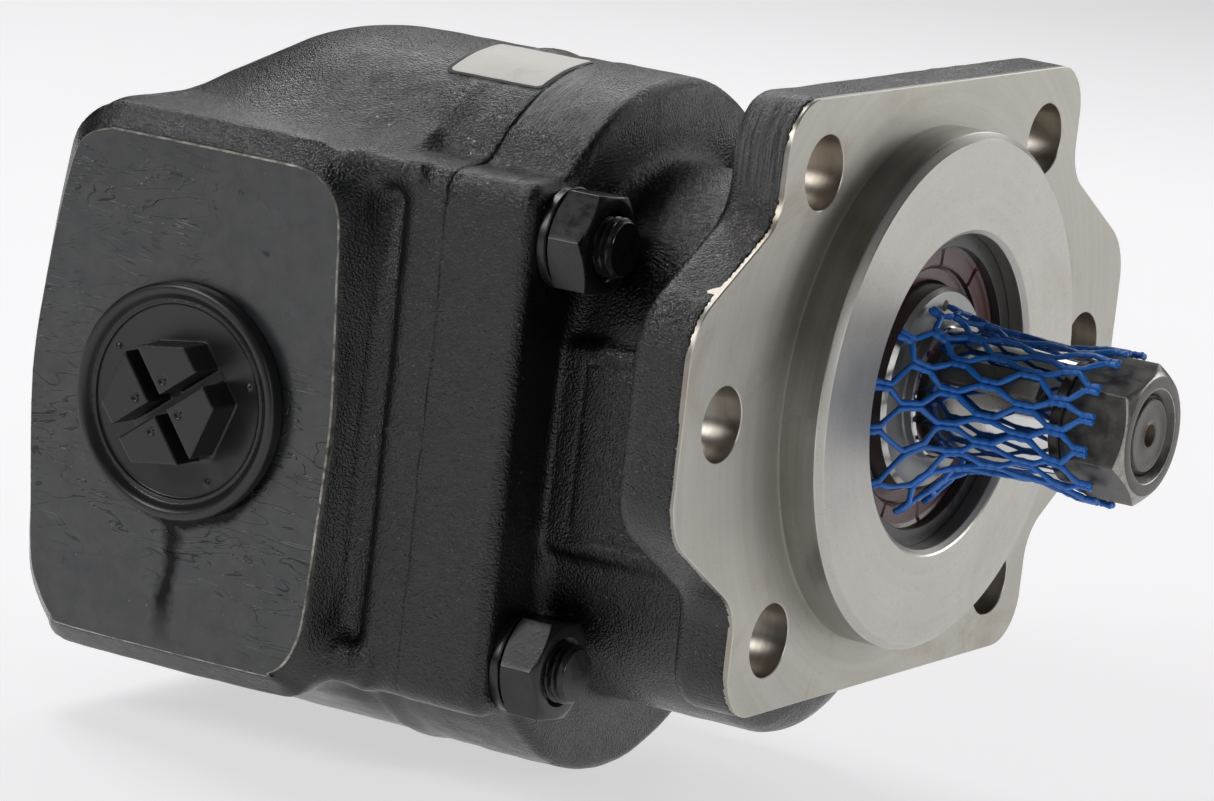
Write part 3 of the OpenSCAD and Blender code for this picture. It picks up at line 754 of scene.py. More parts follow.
def build_cover():
    lo, hi = (-94.5, -91.5, -94.0), (2.0, 91.5, 62.5)
    n, X, Y, Z = axes(lo, hi, H)
    fl = poly2(flange_pts(), Y[0], Z[0])[None]
    jo = poly2(joint_pts(0.22), Y[0], Z[0])[None]
    zc = np.clip(Z, -40, 0)
    ra = np.sqrt(Y ** 2 + (Z - zc) ** 2)
    r0 = np.sqrt(Y ** 2 + Z ** 2)
    r1 = np.sqrt(Y ** 2 + (Z + 40) ** 2)
    base = rmax(rmax(jo, X + 57.5, 2.6), -77.5 - X, 0.35)
    neck = ra - 34.0
    neck = rmax(neck, X + 13.3, 9.0)
    neck = np.maximum(neck, -70 - X)
    # raised cast panel on the side of the neck
    pan = rbox2(X, Z, -55.5, -20, -39.5, 1.5, 2.0)
    pan = rmax(pan, slab(-36.3, -20, Y), 1.4)
    inner = rmax(np.abs(rbox2(X, Z, -51.6, -8.0, -36.4, -2.0, 1.5)) - 0.45, slab(-38.0, -35.8, Y), 0.1)
    neck = rmin(neck, np.broadcast_to(pan, neck.shape), 3.0)
    neck = np.maximum(neck, -inner)
    body = rmin(base, neck, 4.0)
    # round rim of the shaft bearing housing behind the flange
    boss = rmax(r0 - 42.0, np.maximum(X + 10, -17.5 - X), 2.0)
    body = rmin(body, boss, 3.0)
    flg = rmax(rmax(np.broadcast_to(fl, body.shape), X + 0.45, 0.45), -13.0 - X, 3.2)
    body = rmin(body, flg, 4.5)
    body = body + 0.045 * lumps(body.shape, H, 3.4, 11) + 0.07 * lumps(body.shape, H, 13.0, 12)
    # keep the parting face and flange face true
    body = np.maximum(body, -77.5 - X)
    body = np.maximum(body, X + 0.45)
    spig = np.maximum(np.minimum(r0, r1) - 23.05, slab(-92.7, -70, X))
    body = np.minimum(body, spig)
    cut = np.maximum(r0 - 34.0, -14.2 - X)
    cut = np.minimum(cut, np.maximum(r0 - 26.5, slab(-19, -10, X)))
    cut = np.minimum(cut, np.maximum(r0 - 21.0, slab(-70, -15, X)))
    cut = np.minimum(cut, np.maximum(r0 - 13.6, slab(-96, -65, X)))
    cut = np.minimum(cut, np.maximum(r1 - 13.6, slab(-96, -88, X)))
    for y, z in HOLES:
        cut = np.minimum(cut, np.maximum(np.sqrt((Y - y) ** 2 + (Z - z) ** 2) - 7.75, slab(-20, 5, X)))
    for y, z in STUDS:
        cut = np.minimum(cut, np.maximum(np.sqrt((Y - y) ** 2 + (Z - z) ** 2) - 6.4, slab(-80, -50, X)))
    body = np.maximum(body, -cut)
    v, f = surface(body, lo, H)
    c = v[f].mean(axis=1)
    rr = np.sqrt(c[:, 1] ** 2 + c[:, 2] ** 2)
    jd = poly2(joint_pts(0.35), c[:, 1], c[:, 2])
    inside = ((rr < 34.6) & (c[:, 0] > -15) & (rr > 20)) | ((rr < 27.0) & (c[:, 0] > -76)) | ((c[:, 0] < -77.3) & (jd < -1.4))
    cast = new_mesh("cover_cast", v, f, [M["cover_paint"], M["cavity_iron"]], np.where(inside, 1, 0))
    # machined face with its holes, chamfered
    face = plate("cover_face", [(a * 0.9985, b * 0.9985) for a, b in flange_pts()], [circle_pts(0, 0, 49.6, 160)] + [circle_pts(y, z, 7.2, 72) for y, z in HOLES],
                 -3.0, 0.0, 0.16, [M["flange_metal"], M["bright_edge"], M["hole_metal"]])
    parts = [cast, face]
    for i, (y, z) in enumerate(HOLES):
        parts.append(lathe("hole_%d" % i, [(7.9, -13.05, 0), (7.75, -13.15, 0), (7.2, -12.7, 0), (7.2, -2.9, 0)], [M["hole_metal"]], 72, y, z))
    # pilot, its root groove and the seal bore
    F, E, W = 0, 1, 2
    prof = [(49.2, -0.6, F), (49.9, -0.35, F), (50.75, -0.1, F), (50.8, 0.4, W), (50.8, 7.75, E), (50.65, 7.98, F), (49.6, 9.05, E), (49.4, 9.2, F),
            (32.3, 9.2, E), (31.9, 9.0, F), (31.1, 8.2, E), (31.0, 8.0, W), (31.0, 5.0, E), (31.15, 4.95, W), (32.5, 4.95, W), (32.5, 2.85, W), (31.15, 2.85, E),
            (31.0, 2.8, W), (31.0, -14.15, W), (26.4, -14.2, W), (26.4, -18.9, W)]
    parts.append(lathe("pilot", prof, [M["pilot_metal"], M["bright_edge"], M["wall_metal"]], 256, sharp=18))
    return join("front_cover_body", parts)


def build_housing():
    lo, hi = (-168.5, -60.5, -93.0), (-76.0, 60.5, 52.5)
    n, X, Y, Z = axes(lo, hi, H)
    jo = poly2(joint_pts(), Y[0], Z[0])[None]
    zc = np.clip(Z, -40, 0)
    r0 = np.sqrt(Y ** 2 + Z ** 2)
    r1 = np.sqrt(Y ** 2 + (Z + 40) ** 2)
    ay = np.abs(Y)
    # humps over the gears, rounded at the rear
    hump = np.sqrt(np.maximum(-120 - X, 0) ** 2 + Y ** 2 + (Z - zc) ** 2) - 50.0
    hump = np.maximum(hump, -165.0 - X)
    front = X + np.interp(Z, [18.0, 27.0], [76.3, 77.1])
    flg = rmax(rmax(np.broadcast_to(jo, hump.shape), front, 0.3), -87.8 - X, 4.4)
    core = rbox2(Y, Z, -46.0, 46.0, -71.0, 31.0, 5.0)
    core = np.maximum(np.broadcast_to(core, hump.shape), slab(-110, -80, X))
    # rear block, every edge rounded
    dx = np.abs(X + 116) - 50 + 9.5
    dy = ay - 52.0 + 9.5
    dz = np.abs(Z + 20) - 52.4 + 9.5
    blk = np.sqrt(np.maximum(dx, 0) ** 2 + np.maximum(dy, 0) ** 2 + np.maximum(dz, 0) ** 2) + np.minimum(np.maximum(np.maximum(dx, dy), dz), 0) - 9.5
    blk = rmax(blk, X + 94.3, 3.6)
    pad2 = poly2(PADS, X[:, :, 0], Z[0])[:, None, :] if False else poly2(PADS, X[:, 0, :], Z[0, 0, :][None])[:, None, :]
    grow = np.clip(57.5 - ay, 0, 5.2)
    pad = (pad2 - 0.92 * grow) / 1.25
    pad = rmax(pad, ay - 57.5, 0.35)
    pad = rmax(pad, X + 93.9, 3.0)
    pad = rmax(pad, -165.9 - X, 2.0)
    block = rmin(blk, pad, 2.0)
    body = rmin(flg, core, 4.0)
    # shoulders that close the pockets
    for z0, z1 in ((26.8, 32.5), (-72.5, -64.2)):
        sh = rmax(rmax(rmax(ay - 51.8, slab(-100, -84, X), 0.2), slab(z0, z1, Z), 2.8), 24 - ay, 0.2)
        body = rmin(body, np.broadcast_to(sh, body.shape), 3.2)
    body = rmin(body, block, 4.0)
    rh = np.interp(X, [-166.0, -156.0, -91.5, -86.5], [0.3, 8.5, 8.5, 0.3])
    body = rmin(body, hump, rh)
    body = np.minimum(body, hump)
    # a faint mould line across the flange at mid height
    body = body - 0.35 * np.exp(-((Z + 20.5) / 0.9) ** 2) * np.exp(-(np.maximum(np.abs(X + 82) - 5, 0) / 3) ** 2)
    body = body + 0.045 * lumps(body.shape, H, 3.4, 21) + 0.08 * lumps(body.shape, H, 14.0, 22)
    # casting creases where the hump meets the rear block
    ang = np.arctan2(Y, Z)
    crease = np.exp(-((np.sqrt((X + 118) ** 2 + Y ** 2) - 40.0 - 2.5 * np.sin(9 * ang)) / 1.1) ** 2) * np.exp(-((Z - 33.5) / 3.0) ** 2) * (X < -128) * np.clip(np.cos(ang * 3), 0, 1)
    body = body + 0.8 * crease
    # the casting is dressed flat under the label
    lab = rbox2(X, np.degrees(np.arctan2(-Y, Z)) * 50 * pi / 180, -101.4, -76.0, -1.0, 21.6, 1.0)
    body = np.where(Z > 20, np.maximum(body, hump - 0.5 * np.maximum(lab, 0.0)), body)
    body = np.maximum(body, front)
    body = np.maximum(body, ay - 57.5)
    cut = np.maximum(np.minimum(r0, r1) - 23.3, slab(-159.3, -70, X))
    px = np.sqrt((X - PORT[0]) ** 2 + (Z - PORT[1]) ** 2)
    cut = np.minimum(cut, px - 12.0)
    cut = np.minimum(cut, np.maximum(px - 16.8, 30.0 - ay))
    for y, z in STUDS:
        cut = np.minimum(cut, np.maximum(np.sqrt((Y - y) ** 2 + (Z - z) ** 2) - 6.2, slab(-105, -70, X)))
    cut = np.minimum(cut, np.maximum(np.abs(np.sqrt(Y ** 2 + (Z - zc) ** 2) - 28.8) - 1.4, slab(-79.6, -70, X)))
    body = np.maximum(body, -cut)
    v, f = surface(body, lo, H)
    c = v[f].mean(axis=1)
    q0 = np.minimum(np.hypot(c[:, 1], c[:, 2]), np.hypot(c[:, 1], c[:, 2] + 40))
    qp = np.hypot(c[:, 0] - PORT[0], c[:, 2] - PORT[1])
    jd = poly2(joint_pts(), c[:, 1], c[:, 2])
    inside = (q0 < 24.5) & (c[:, 0] > -160) | (qp < 17.6) | ((c[:, 0] > -77.7) & (jd < -1.6))
    cast = new_mesh("housing_cast", v, f, [M["housing_paint"], M["cavity_iron"]], np.where(inside, 1, 0))
    parts = [cast]
    for s in (-1, 1):
        parts.append(plate("pad_%d" % s, PADS, [circle_pts(PORT[0], PORT[1], 18.4, 96)], s * 55.5, s * 58.0, 0.3, [M["pad_paint"], M["worn_edge"], M["worn_edge"]], plane="y"))
        parts.append(lathe("port_%d" % s, [(18.4, 55.6, 0), (18.4, 57.6, 0), (18.2, 57.8, 0), (16.4, 55.9, 0), (16.4, 31.0, 0), (12.1, 30.0, 0), (12.1, 24.0, 0)], [M["cavity_iron"]], 96,
                           axis="-y" if s < 0 else "y", origin=(PORT[0], 0, PORT[1])))
    return join("gear_housing_body", parts)


cover = build_cover()
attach(cover, "pump_body")
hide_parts("front_cover")
housing = build_housing()
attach(housing, "pump_body")
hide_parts("gear_housing")

# ------------------------------------------------------------------ fasteners


def hex_loop(af, cr, rot, flat=10, na=5):
    """(angle, radius) round a hexagon with slightly rounded corners, plus plain points on the flats."""
    pts = []
    R = af / math.sqrt(3)
    for k in range(6):
        a = rot + k * 60.0
        ca = R - cr / math.cos(math.radians(30))
        cx, cy = ca * math.cos(math.radians(a)), ca * math.sin(math.radians(a))
        for i in range(na + 1):
            b = math.radians(a - 30 + 60 * i / na)
            pts.append((cx + cr * math.cos(b), cy + cr * math.sin(b)))
        e = pts[-1]
        a2 = a + 60
        sx, sy = ca * math.cos(math.radians(a2)) + cr * math.cos(math.radians(a2 - 30)), ca * math.sin(math.radians(a2)) + cr * math.sin(math.radians(a2 - 30))
        for i in range(1, flat):
            t = i / flat
            pts.append((e[0] + (sx - e[0]) * t, e[1] + (sy - e[1]) * t))
    p = np.array(pts)
    return np.arctan2(p[:, 1], p[:, 0]), np.hypot(p[:, 0], p[:, 1])


def hex_body(name, af, x0, x1, bore, rot, mats, cy=0.0, cz=0.0, corner=0.35, tan0=0.5, tan1=0.5, rc=0.955, inner=(), both=True):
    """Nut: flats, chamfer cones that cut the corners into arcs, worn chamfer faces in slot 1."""
    th, R = hex_loop(af, corner, rot)
    n = len(th)
    r_c = af / 2 * rc
    rows = []

    def row(r, x, s):
        rows.append((np.broadcast_to(r, (n,)).astype(float), np.broadcast_to(x, (n,)).astype(float), s))

    e1 = x1 - np.maximum(R - r_c, 0) * tan1
    e0 = x0 + np.maximum(R - r_c, 0) * (tan0 if both else 0.0)
    for r, x, s in inner:
        row(r, x, s)
    if not inner:
        row(bore, x1 - 0.9, 0)
        row(bore + 0.9, x1, 0)
    row(r_c - 0.18, x1, 0)
    row(r_c + 0.02, x1 - 0.07, 1)
    row(np.maximum((R + r_c) / 2, r_c + 0.03), (x1 - 0.07 + e1) / 2, 1)
    row(np.minimum(R, R - 0.10), e1 - 0.02, 1)
    row(R, e1 - 0.16, 0)
    row(R, (x0 + x1) / 2, 0)
    row(R, e0 + 0.16, 1)
    row(R - 0.10, e0 + 0.02, 1)
    row(r_c, x0, 0)
    row(bore, x0, 0)
    verts = []
    for r, x, s in rows:
        for i in range(n):
            verts.append((x[i], cy + r[i] * math.cos(th[i]), cz + r[i] * math.sin(th[i])))
    faces, idx = [], []
    m = len(rows)
    for k in range(m):
        k2 = (k + 1) % m
        for i in range(n):
            j = (i + 1) % n
            faces.append((k * n + i, k * n + j, k2 * n + j, k2 * n + i))
            idx.append(rows[k][2])
    faces = outward(verts, faces)
    return new_mesh(name, verts, faces, mats, idx, sharp=24)


def threaded(name, x0, x1, r, pitch, depth, mats, cy=0.0, cz=0.0, segs=72, end_cham=1.0, phase=0.0, cap_slot=1, cap=True):
    """Rod along X with a helical thread up to x1 and a chamfered, capped end."""
    per = 10
    nx = int((x1 - x0) / pitch * per) + 2
    xs = np.linspace(x0, x1, nx)
    th = np.linspace(0, 2 * pi, segs, endpoint=False)
    A, Xg = np.meshgrid(th, xs)
    ph = (Xg / pitch - A / (2 * pi) + phase) % 1.0
    tri = np.abs(ph - 0.5) * 2
    prof = np.clip((tri - 0.12) / 0.70, 0, 1)
    rr = r - depth * (1 - prof)
    lim = r - np.clip(Xg - (x1 - end_cham), 0, None) * 0.9
    rr = np.minimum(rr, lim)
    verts = np.stack([Xg, cy + rr * np.cos(A), cz + rr * np.sin(A)], -1).reshape(-1, 3)
    faces, idx = [], []
    for k in range(nx - 1):
        for i in range(segs):
            j = (i + 1) % segs
            faces.append((k * segs + i, k * segs + j, (k + 1) * segs + j, (k + 1) * segs + i))
            idx.append(0)
    verts = verts.tolist()
    last = (nx - 1) * segs
    base = len(verts)
    rin = r - end_cham * 0.9 - 0.5
    for i in range(segs):
        verts.append((x1 + 0.02, cy + rin * math.cos(th[i]), cz + rin * math.sin(th[i])))
    c = len(verts)
    verts.append((x1 + 0.02, cy, cz))
    for i in range(segs):
        j = (i + 1) % segs
        if cap:
            faces.append((last + i, last + j, base + j, base + i))
            idx.append(cap_slot)
            faces.append((base + i, base + j, c))
            idx.append(cap_slot)
    c0 = len(verts)
    verts.append((x0, cy, cz))
    for i in range(segs):
        faces.append((i, c0, (i + 1) % segs))
        idx.append(0)
    faces = outward(verts, faces)
    return new_mesh(name, verts, faces, mats, idx, sharp=35)


def static(ob, node, body="pump_body"):
    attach(ob, body)
    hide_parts(node)
    return ob


nuts, studs, washers = [], [], []
for i, (y, z) in enumerate(STUDS):
    nuts.append(hex_body("nut_%d" % i, 19.0, -55.45, -46.8, 6.05, 54.0 + (0, 7, -9, 4)[i] * (0 if y < 0 else 1), [M["black_steel"], M["rubbed_edge"] if False else M["black_steel"]], y, z, 0.4))
    studs.append(threaded("stud_%d" % i, -104.4, -43.52, 5.98, 1.5, 0.85, [M["black_steel"], M["black_steel"]], y, z, 64, end_cham=0.9))
    washers.append(lathe("washer_%d" % i, [(6.4, -57.48, 0), (9.75, -57.48, 0), (10.0, -57.25, 0), (10.0, -55.75, 0), (9.75, -55.5, 0), (6.6, -55.5, 0), (6.4, -55.7, 0)], [M["black_steel"]], 96, y, z, closed=True))
static(join("stud_nuts_black", nuts), "stud_nuts")
static(join("cover_studs_threaded", studs), "cover_studs")
static(join("stud_washers_black", washers), "stud_washers")

# ------------------------------------------------------------------ shaft end


def shaft_shape(th, k, rr, xx):
    return rr, xx


sp = [(0.0, -94.0, 2), (9.5, -94.0, 2), (9.5, -68.0, 2), (14.0, -66.0, 2), (14.0, -24.0, 2), (17.0, -22.0, 2), (17.45, -20.0, 2), (17.45, -5.2, 2), (20.0, -5.2, 2), (20.0, 4.6, 1),
      (19.15, 5.45, 0), (18.9, 5.5, 0), (13.9, 5.5, 0), (13.4, 5.6, 0), (13.2, 5.95, 0), (13.2, 7.5, 1), (13.0, 7.8, 3), (12.68, 8.2, 3), (12.35, 13.5, 3), (12.0, 19.0, 3), (11.65, 24.6, 3), (11.3, 30.2, 3), (10.98, 35.9, 1), (10.8, 36.2, 3), (8.0, 36.3, 3), (8.0, 39.0, 3), (0.0, 39.0, 3)]
shaft = lathe("shaft_turned", sp, [M["collar_steel"], M["bright_edge"], M["cavity_iron"], M["taper_steel"]], 192, sharp=22)
stub = threaded("shaft_thread", 38.0, 51.9, 7.95, 1.5, 0.8, [M["thread_steel"], M["thread_steel"]], segs=72, end_cham=0.75, cap=False)
# end disc with its centre hole
disc = lathe("shaft_disc", [(7.3, 51.4, 0), (7.2, 51.75, 0), (6.95, 51.95, 0), (6.3, 51.98, 0), (5.9, 51.8, 0), (2.9, 51.8, 0), (2.55, 51.95, 0), (2.25, 51.9, 1), (1.9, 51.2, 1), (0.9, 49.2, 1), (0.0, 48.4, 1)], [M["nut_oxide"], M["rust_dark"]], 96)
spline = []
for i in range(6):
    a = math.radians(60 * i)
    prof = [(6.0, -1.5), (8.5, -1.5), (8.5, 1.5), (6.0, 1.5)]
    v = []
    for x in (-110.0, -93.6):
        for r, t in prof:
            v.append((x, r * math.cos(a) - t * math.sin(a), r * math.sin(a) + t * math.cos(a)))
    f = [(0, 1, 2, 3), (7, 6, 5, 4), (0, 4, 5, 1), (1, 5, 6, 2), (2, 6, 7, 3), (3, 7, 4, 0)]
    spline.append(new_mesh("spline_%d" % i, v, outward(v, f), [M["cavity_iron"]], None, sharp=30))
spline.append(lathe("spline_core", [(0, -110, 0), (6.6, -110, 0), (6.95, -109.6, 0), (6.95, -93.6, 0), (0, -93.6, 0)], [M["cavity_iron"]], 64))
# puller dimple in the collar face, drawn as a flat disc just proud of the face in the dark rust colour: painted shade
# of the hollow, with rust
dimple = lathe("collar_dimple_shade_disc", [(1.15, 5.512, 0), (0.95, 5.516, 0), (0.85, 5.52, 0), (0.0, 5.524, 0)], [M["rust_dark"]], 32, 0.0, 16.5)
shaft = join("input_shaft_turned", [shaft, stub, disc, dimple] + spline)
static(shaft, "input_shaft", "drive_shaft")

# key: half-moon key standing in the taper
ka = math.radians(60)
kv, kf = [], []
prof = []
for i in range(33):
    a = math.radians(180 + 180 * i / 32)
    prof.append((22.8 + 10.8 * math.cos(a), 14.2 + 10.8 * math.sin(a)))
prof = [(x, r) for x, r in prof if r > 7.0 or True]
kcols = [(-2.5, 0.0), (-2.25, 0.25), (2.25, 0.25), (2.5, 0.0)]
npf = len(prof)


def key_point(x, r, t):
    y = -(r * math.sin(ka)) + t * math.cos(ka)
    z = r * math.cos(ka) + t * math.sin(ka)
    return (x, y, z)


for t, _ in kcols:
    lift = 0.0 if abs(t) > 2.4 else 0.25
    for x, r in prof:
        dx = 22.8 - x
        s = 1.0 - (0.0 if lift else 0.03)
        kv.append(key_point(22.8 - dx * s, min(14.2 - (0.0 if lift else 0.22), r), t))
for c in range(3):
    for i in range(npf):
        j = (i + 1) % npf
        kf.append((c * npf + i, c * npf + j, (c + 1) * npf + j, (c + 1) * npf + i))
kf.append(tuple(range(npf)))
kf.append(tuple(range(4 * npf - 1, 3 * npf - 1, -1)))
key = new_mesh("woodruff_key_half_moon", kv, outward(kv, kf), [M["nut_oxide"]], None, sharp=30)
static(key, "woodruff_key", "drive_shaft")

wash = lathe("shaft_washer_dark", [(8.3, 36.38, 0), (11.75, 36.38, 0), (12.0, 36.65, 0), (12.0, 38.3, 0), (11.75, 38.58, 0), (8.5, 38.58, 0), (8.3, 38.4, 0)], [M["washer_brown"]], 128, closed=True)
static(wash, "shaft_washer", "drive_shaft")
nut = hex_body("shaft_nut_oxide", 24.0, 38.65, 52.6, 8.0, 22.0, [M["nut_oxide"], M["rubbed_edge"]], 0, 0, 0.45, 1.25, 0.62, 0.965,
               inner=[(7.95, 50.6, 0), (7.95, 51.3, 0), (9.15, 52.52, 1), (9.35, 52.6, 0), (9.9, 52.6, 0)])
static(nut, "shaft_nut", "drive_shaft")

# ------------------------------------------------------------------ bore parts


def seal_shape(th, k, rr, xx):
    # radial grooves in the seal's outer face
    if k in (4, 5, 6):
        g = ((th - 0.33) / (2 * pi) * 11) % 1.0
        d = np.minimum(g, 1 - g)
        xx = xx - 0.75 * np.clip(1 - d / 0.035, 0, 1) ** 0.5
    return rr, xx


sprof = [(23.4, -5.1, 1), (30.95, -5.1, 1), (30.95, 2.7, 1), (27.9, 2.75, 0), (27.35, 2.5, 0), (27.0, 2.35, 0), (24.0, 2.35, 0), (23.55, 2.1, 1), (23.3, 1.2, 0), (22.9, 0.9, 0), (21.2, 0.95, 0), (20.7, 0.8, 1), (20.1, 0.0, 1), (20.08, -0.6, 1), (20.5, -2.4, 1), (21.3, -3.2, 1), (22.3, -3.9, 1)]
seal = lathe("shaft_seal_lip", sprof, [M["seal_maroon"], M["seal_dark"]], 528, closed=True, shape=seal_shape, sharp=24)
static(seal, "shaft_seal")


def ring_piece():
    outer, inner = [], []
    n = 150
    g0, g1 = 115 + 5.2, 115 + 360 - 5.2

    def pt(r, a):
        # the CAD turns the gap by 115 degrees about +X from the +Z direction
        a = math.radians(a)
        return (-r * math.sin(a), r * math.cos(a))

    for i in range(n + 1):
        a = g0 + (g1 - g0) * i / n
        outer.append(pt(32.3, a))
        ri = 27.8 + 1.2 * abs(math.cos(math.radians((a - 115) / 2))) * 0.0
        lug = min(abs(a - (115 + 11)), abs(a - (115 + 349)))
        if lug < 5.8:
            ri = 25.1 + max(0.0, lug - 4.2) * 1.6
        inner.append(pt(ri, a))
    out = outer + inner[::-1]
    holes = []
    for a in (115 + 11, 115 - 11):
        c = pt(27.4, a)
        holes.append(circle_pts(c[0], c[1], 1.1, 24))
    top = plate("ring_plate", out, holes, 2.92, 4.88, 0.12, [M["ring_steel"]] * 3)
    return top


ring = ring_piece()
static(ring, "retaining_ring")

# ------------------------------------------------------------------ port plugs (moulded plastic)


def plug_piece(name, side):
    h = 0.27
    lo, hi = (-25.0, -25.0, -1.0), (25.0, 25.0, 28.4)
    n, U, V, W = axes(lo, hi, h)
    r = np.sqrt(U ** 2 + V ** 2)
    # skirt in the port
    d = rmax(r - 16.1, np.maximum(0.0 - W, W - 18.3), 0.5)
    rim = rmax(r - 23.6, np.maximum(17.5 - W, W - 21.6), 1.2)
    d = rmin(d, rim, 0.3)
    # bowl inside the rim: steep wall, then a gentle slope down to the boss
    bowl = np.maximum(18.9 + 0.10 * np.maximum(r - 12.0, 0) + np.clip(r - 19.4, 0, None) ** 1.5 * 0.55 - W, r - 22.3)
    d = rmax(d, -np.maximum(r - 22.3, bowl), 0.6)
    ringline = np.hypot(r - 19.6, W - 19.9) - 0.35
    d = rmin(d, ringline, 0.3)
    # hexagon boss split into blocks by a cross slot
    hx = None
    for k in range(3):
        a = math.radians(8.5 + 30 + 60 * k)
        e = np.abs(U * math.cos(a) + V * math.sin(a)) - 13.4 * math.cos(math.radians(30))
        hx = e if hx is None else rmax(hx, np.broadcast_to(e, hx.shape), 0.4)
    boss = rmax(hx, np.maximum(W - 26.9, 17.0 - W), 0.3)
    ca, sa = math.cos(math.radians(37)), math.sin(math.radians(37))
    P = U * ca + V * sa
    T = -U * sa + V * ca
    slot = np.maximum(np.minimum(np.abs(P) - 1.45, np.abs(T) - 1.45), 19.0 - W)
    boss = rmax(boss, -np.broadcast_to(slot, boss.shape), 0.25)
    d = rmin(d, boss, 0.4)
    for k, (a, b) in enumerate(((3.7, 3.7), (-3.7, 3.7), (3.7, -3.7), (-3.7, -3.7))):
        q = np.sqrt((P - a) ** 2 + (T - b) ** 2)
        d = np.maximum(d, -(np.sqrt(q ** 2 + (W - 27.3) ** 2) - 1.0))
        d = np.minimum(d, np.sqrt(q ** 2 + (W - 26.55) ** 2) - 0.42)
    # small mould marks on the bowl's floor
    for aa, bb in ((-60, 17.2), (20, 17.0), (152, 17.3)):
        uu, vv = bb * math.cos(math.radians(aa)), bb * math.sin(math.radians(aa))
        d = rmin(d, np.sqrt((U - uu) ** 2 + (V - vv) ** 2 + (W - 19.1) ** 2) - 0.75, 0.2)
    d = np.maximum(d, -np.maximum(r - 12.6, W - 13.0))
    v, f = surface(d, lo, h)
    # local (u, v, w) -> row frame; w points out of the body
    o = np.empty_like(v)
    o[:, 0] = PORT[0] + v[:, 0] * (1 if side < 0 else -1)
    o[:, 2] = PORT[1] + v[:, 1]
    o[:, 1] = side * (58.02 - 17.5 + v[:, 2])
    return new_mesh(name, o, outward(o, f), [M["plug_plastic"]])


for nm, sd, body in (("port_plug_near", -1, "near_port_plug"), ("port_plug_far", 1, "far_port_plug")):
    static(plug_piece(nm + "_moulded", sd), nm, body)

# ------------------------------------------------------------------ blank name label


def label_piece():
    nx, na = 26, 40

    def patch(name, x0, x1, a0, a1, rad, lift, mat, rc):
        vs, fs = [], []
        for i in range(nx + 1):
            for k in range(na + 1):
                u, w = -1 + 2 * i / nx, -1 + 2 * k / na
                hw, hl = (x1 - x0) / 2, math.radians(a1 - a0) / 2 * rad
                px, py = u * hw, w * hl
                # pull the corners in to a radius
                ex, ey = max(abs(px) - (hw - rc), 0), max(abs(py) - (hl - rc), 0)
                m = math.hypot(ex, ey)
                if ex > 0 and ey > 0 and m > rc:
                    px = math.copysign(hw - rc + ex * rc / m, px)
                    py = math.copysign(hl - rc + ey * rc / m, py)
                a = math.radians((a0 + a1) / 2) + py / rad
                wav = 0.02 * math.sin(px * 0.9) + 0.02 * math.sin(py * 0.7 + 1)
                rr = rad + lift + wav
                vs.append(((x0 + x1) / 2 + px, -rr * math.sin(a), rr * math.cos(a)))
        m0 = len(vs)
        for v in list(vs):
            q = math.hypot(v[1], v[2])
            vs.append((v[0], v[1] * (q - 0.16) / q, v[2] * (q - 0.16) / q))
        w1 = na + 1
        for i in range(nx):
            for k in range(na):
                q = (i * w1 + k, i * w1 + k + 1, (i + 1) * w1 + k + 1, (i + 1) * w1 + k)
                fs.append(q)
                fs.append(tuple(m0 + t for t in reversed(q)))
        edge = [i * w1 for i in range(nx + 1)] + [nx * w1 + k for k in range(1, na + 1)] + [i * w1 + na for i in range(nx - 1, -1, -1)] + [k for k in range(na - 1, 0, -1)]
        for i in range(len(edge)):
            a, b = edge[i], edge[(i + 1) % len(edge)]
            fs.append((a, b, m0 + b, m0 + a))
        return new_mesh(name, vs, outward(vs, fs), [mat], None, sharp=40)

    # the under patch shows as a near-black strip about a millimetre wide round the paper: painted shade along the
    # label's edge
    under = patch("label_border_strip_shade", -100.6, -77.9, -0.3, 23.7, 50.0, 0.07, M["label_border_painted_shade"], 1.8)
    face = patch("label_face", -99.6, -78.6, 0.6, 22.9, 50.0, 0.19, M["label_paper"], 1.2)
    return join("name_label_blank", [under, face])


static(label_piece(), "name_label")

# ------------------------------------------------------------------ net sleeve


def net_radius(x, a=210.0):
    """Radius of the net at x and angle a (degrees from +Y towards +Z): it flares over the collar on the near and lower side."""
    xs = [5.0, 7.0, 8.5, 10.0, 12.0, 14.5, 18.0, 24.0, 30.0, 33.0, 36.0, 38.5, 41.0, 46.0, 50.0]
    rs = [27.5, 25.4, 22.4, 19.9, 17.0, 14.7, 13.6, 13.1, 13.0, 13.1, 13.6, 14.15, 14.6, 14.75, 14.9]
    rt = [14.9, 14.9, 14.8, 14.7, 14.5, 14.2, 13.9, 13.5, 13.4, 13.4, 13.8, 14.25, 14.65, 14.85, 15.0]
    w = (0.5 + 0.5 * math.cos(math.radians(a - 208.0))) ** 1.5
    return float(np.interp(x, xs, rs)) * w + float(np.interp(x, xs, rt)) * (1 - w)


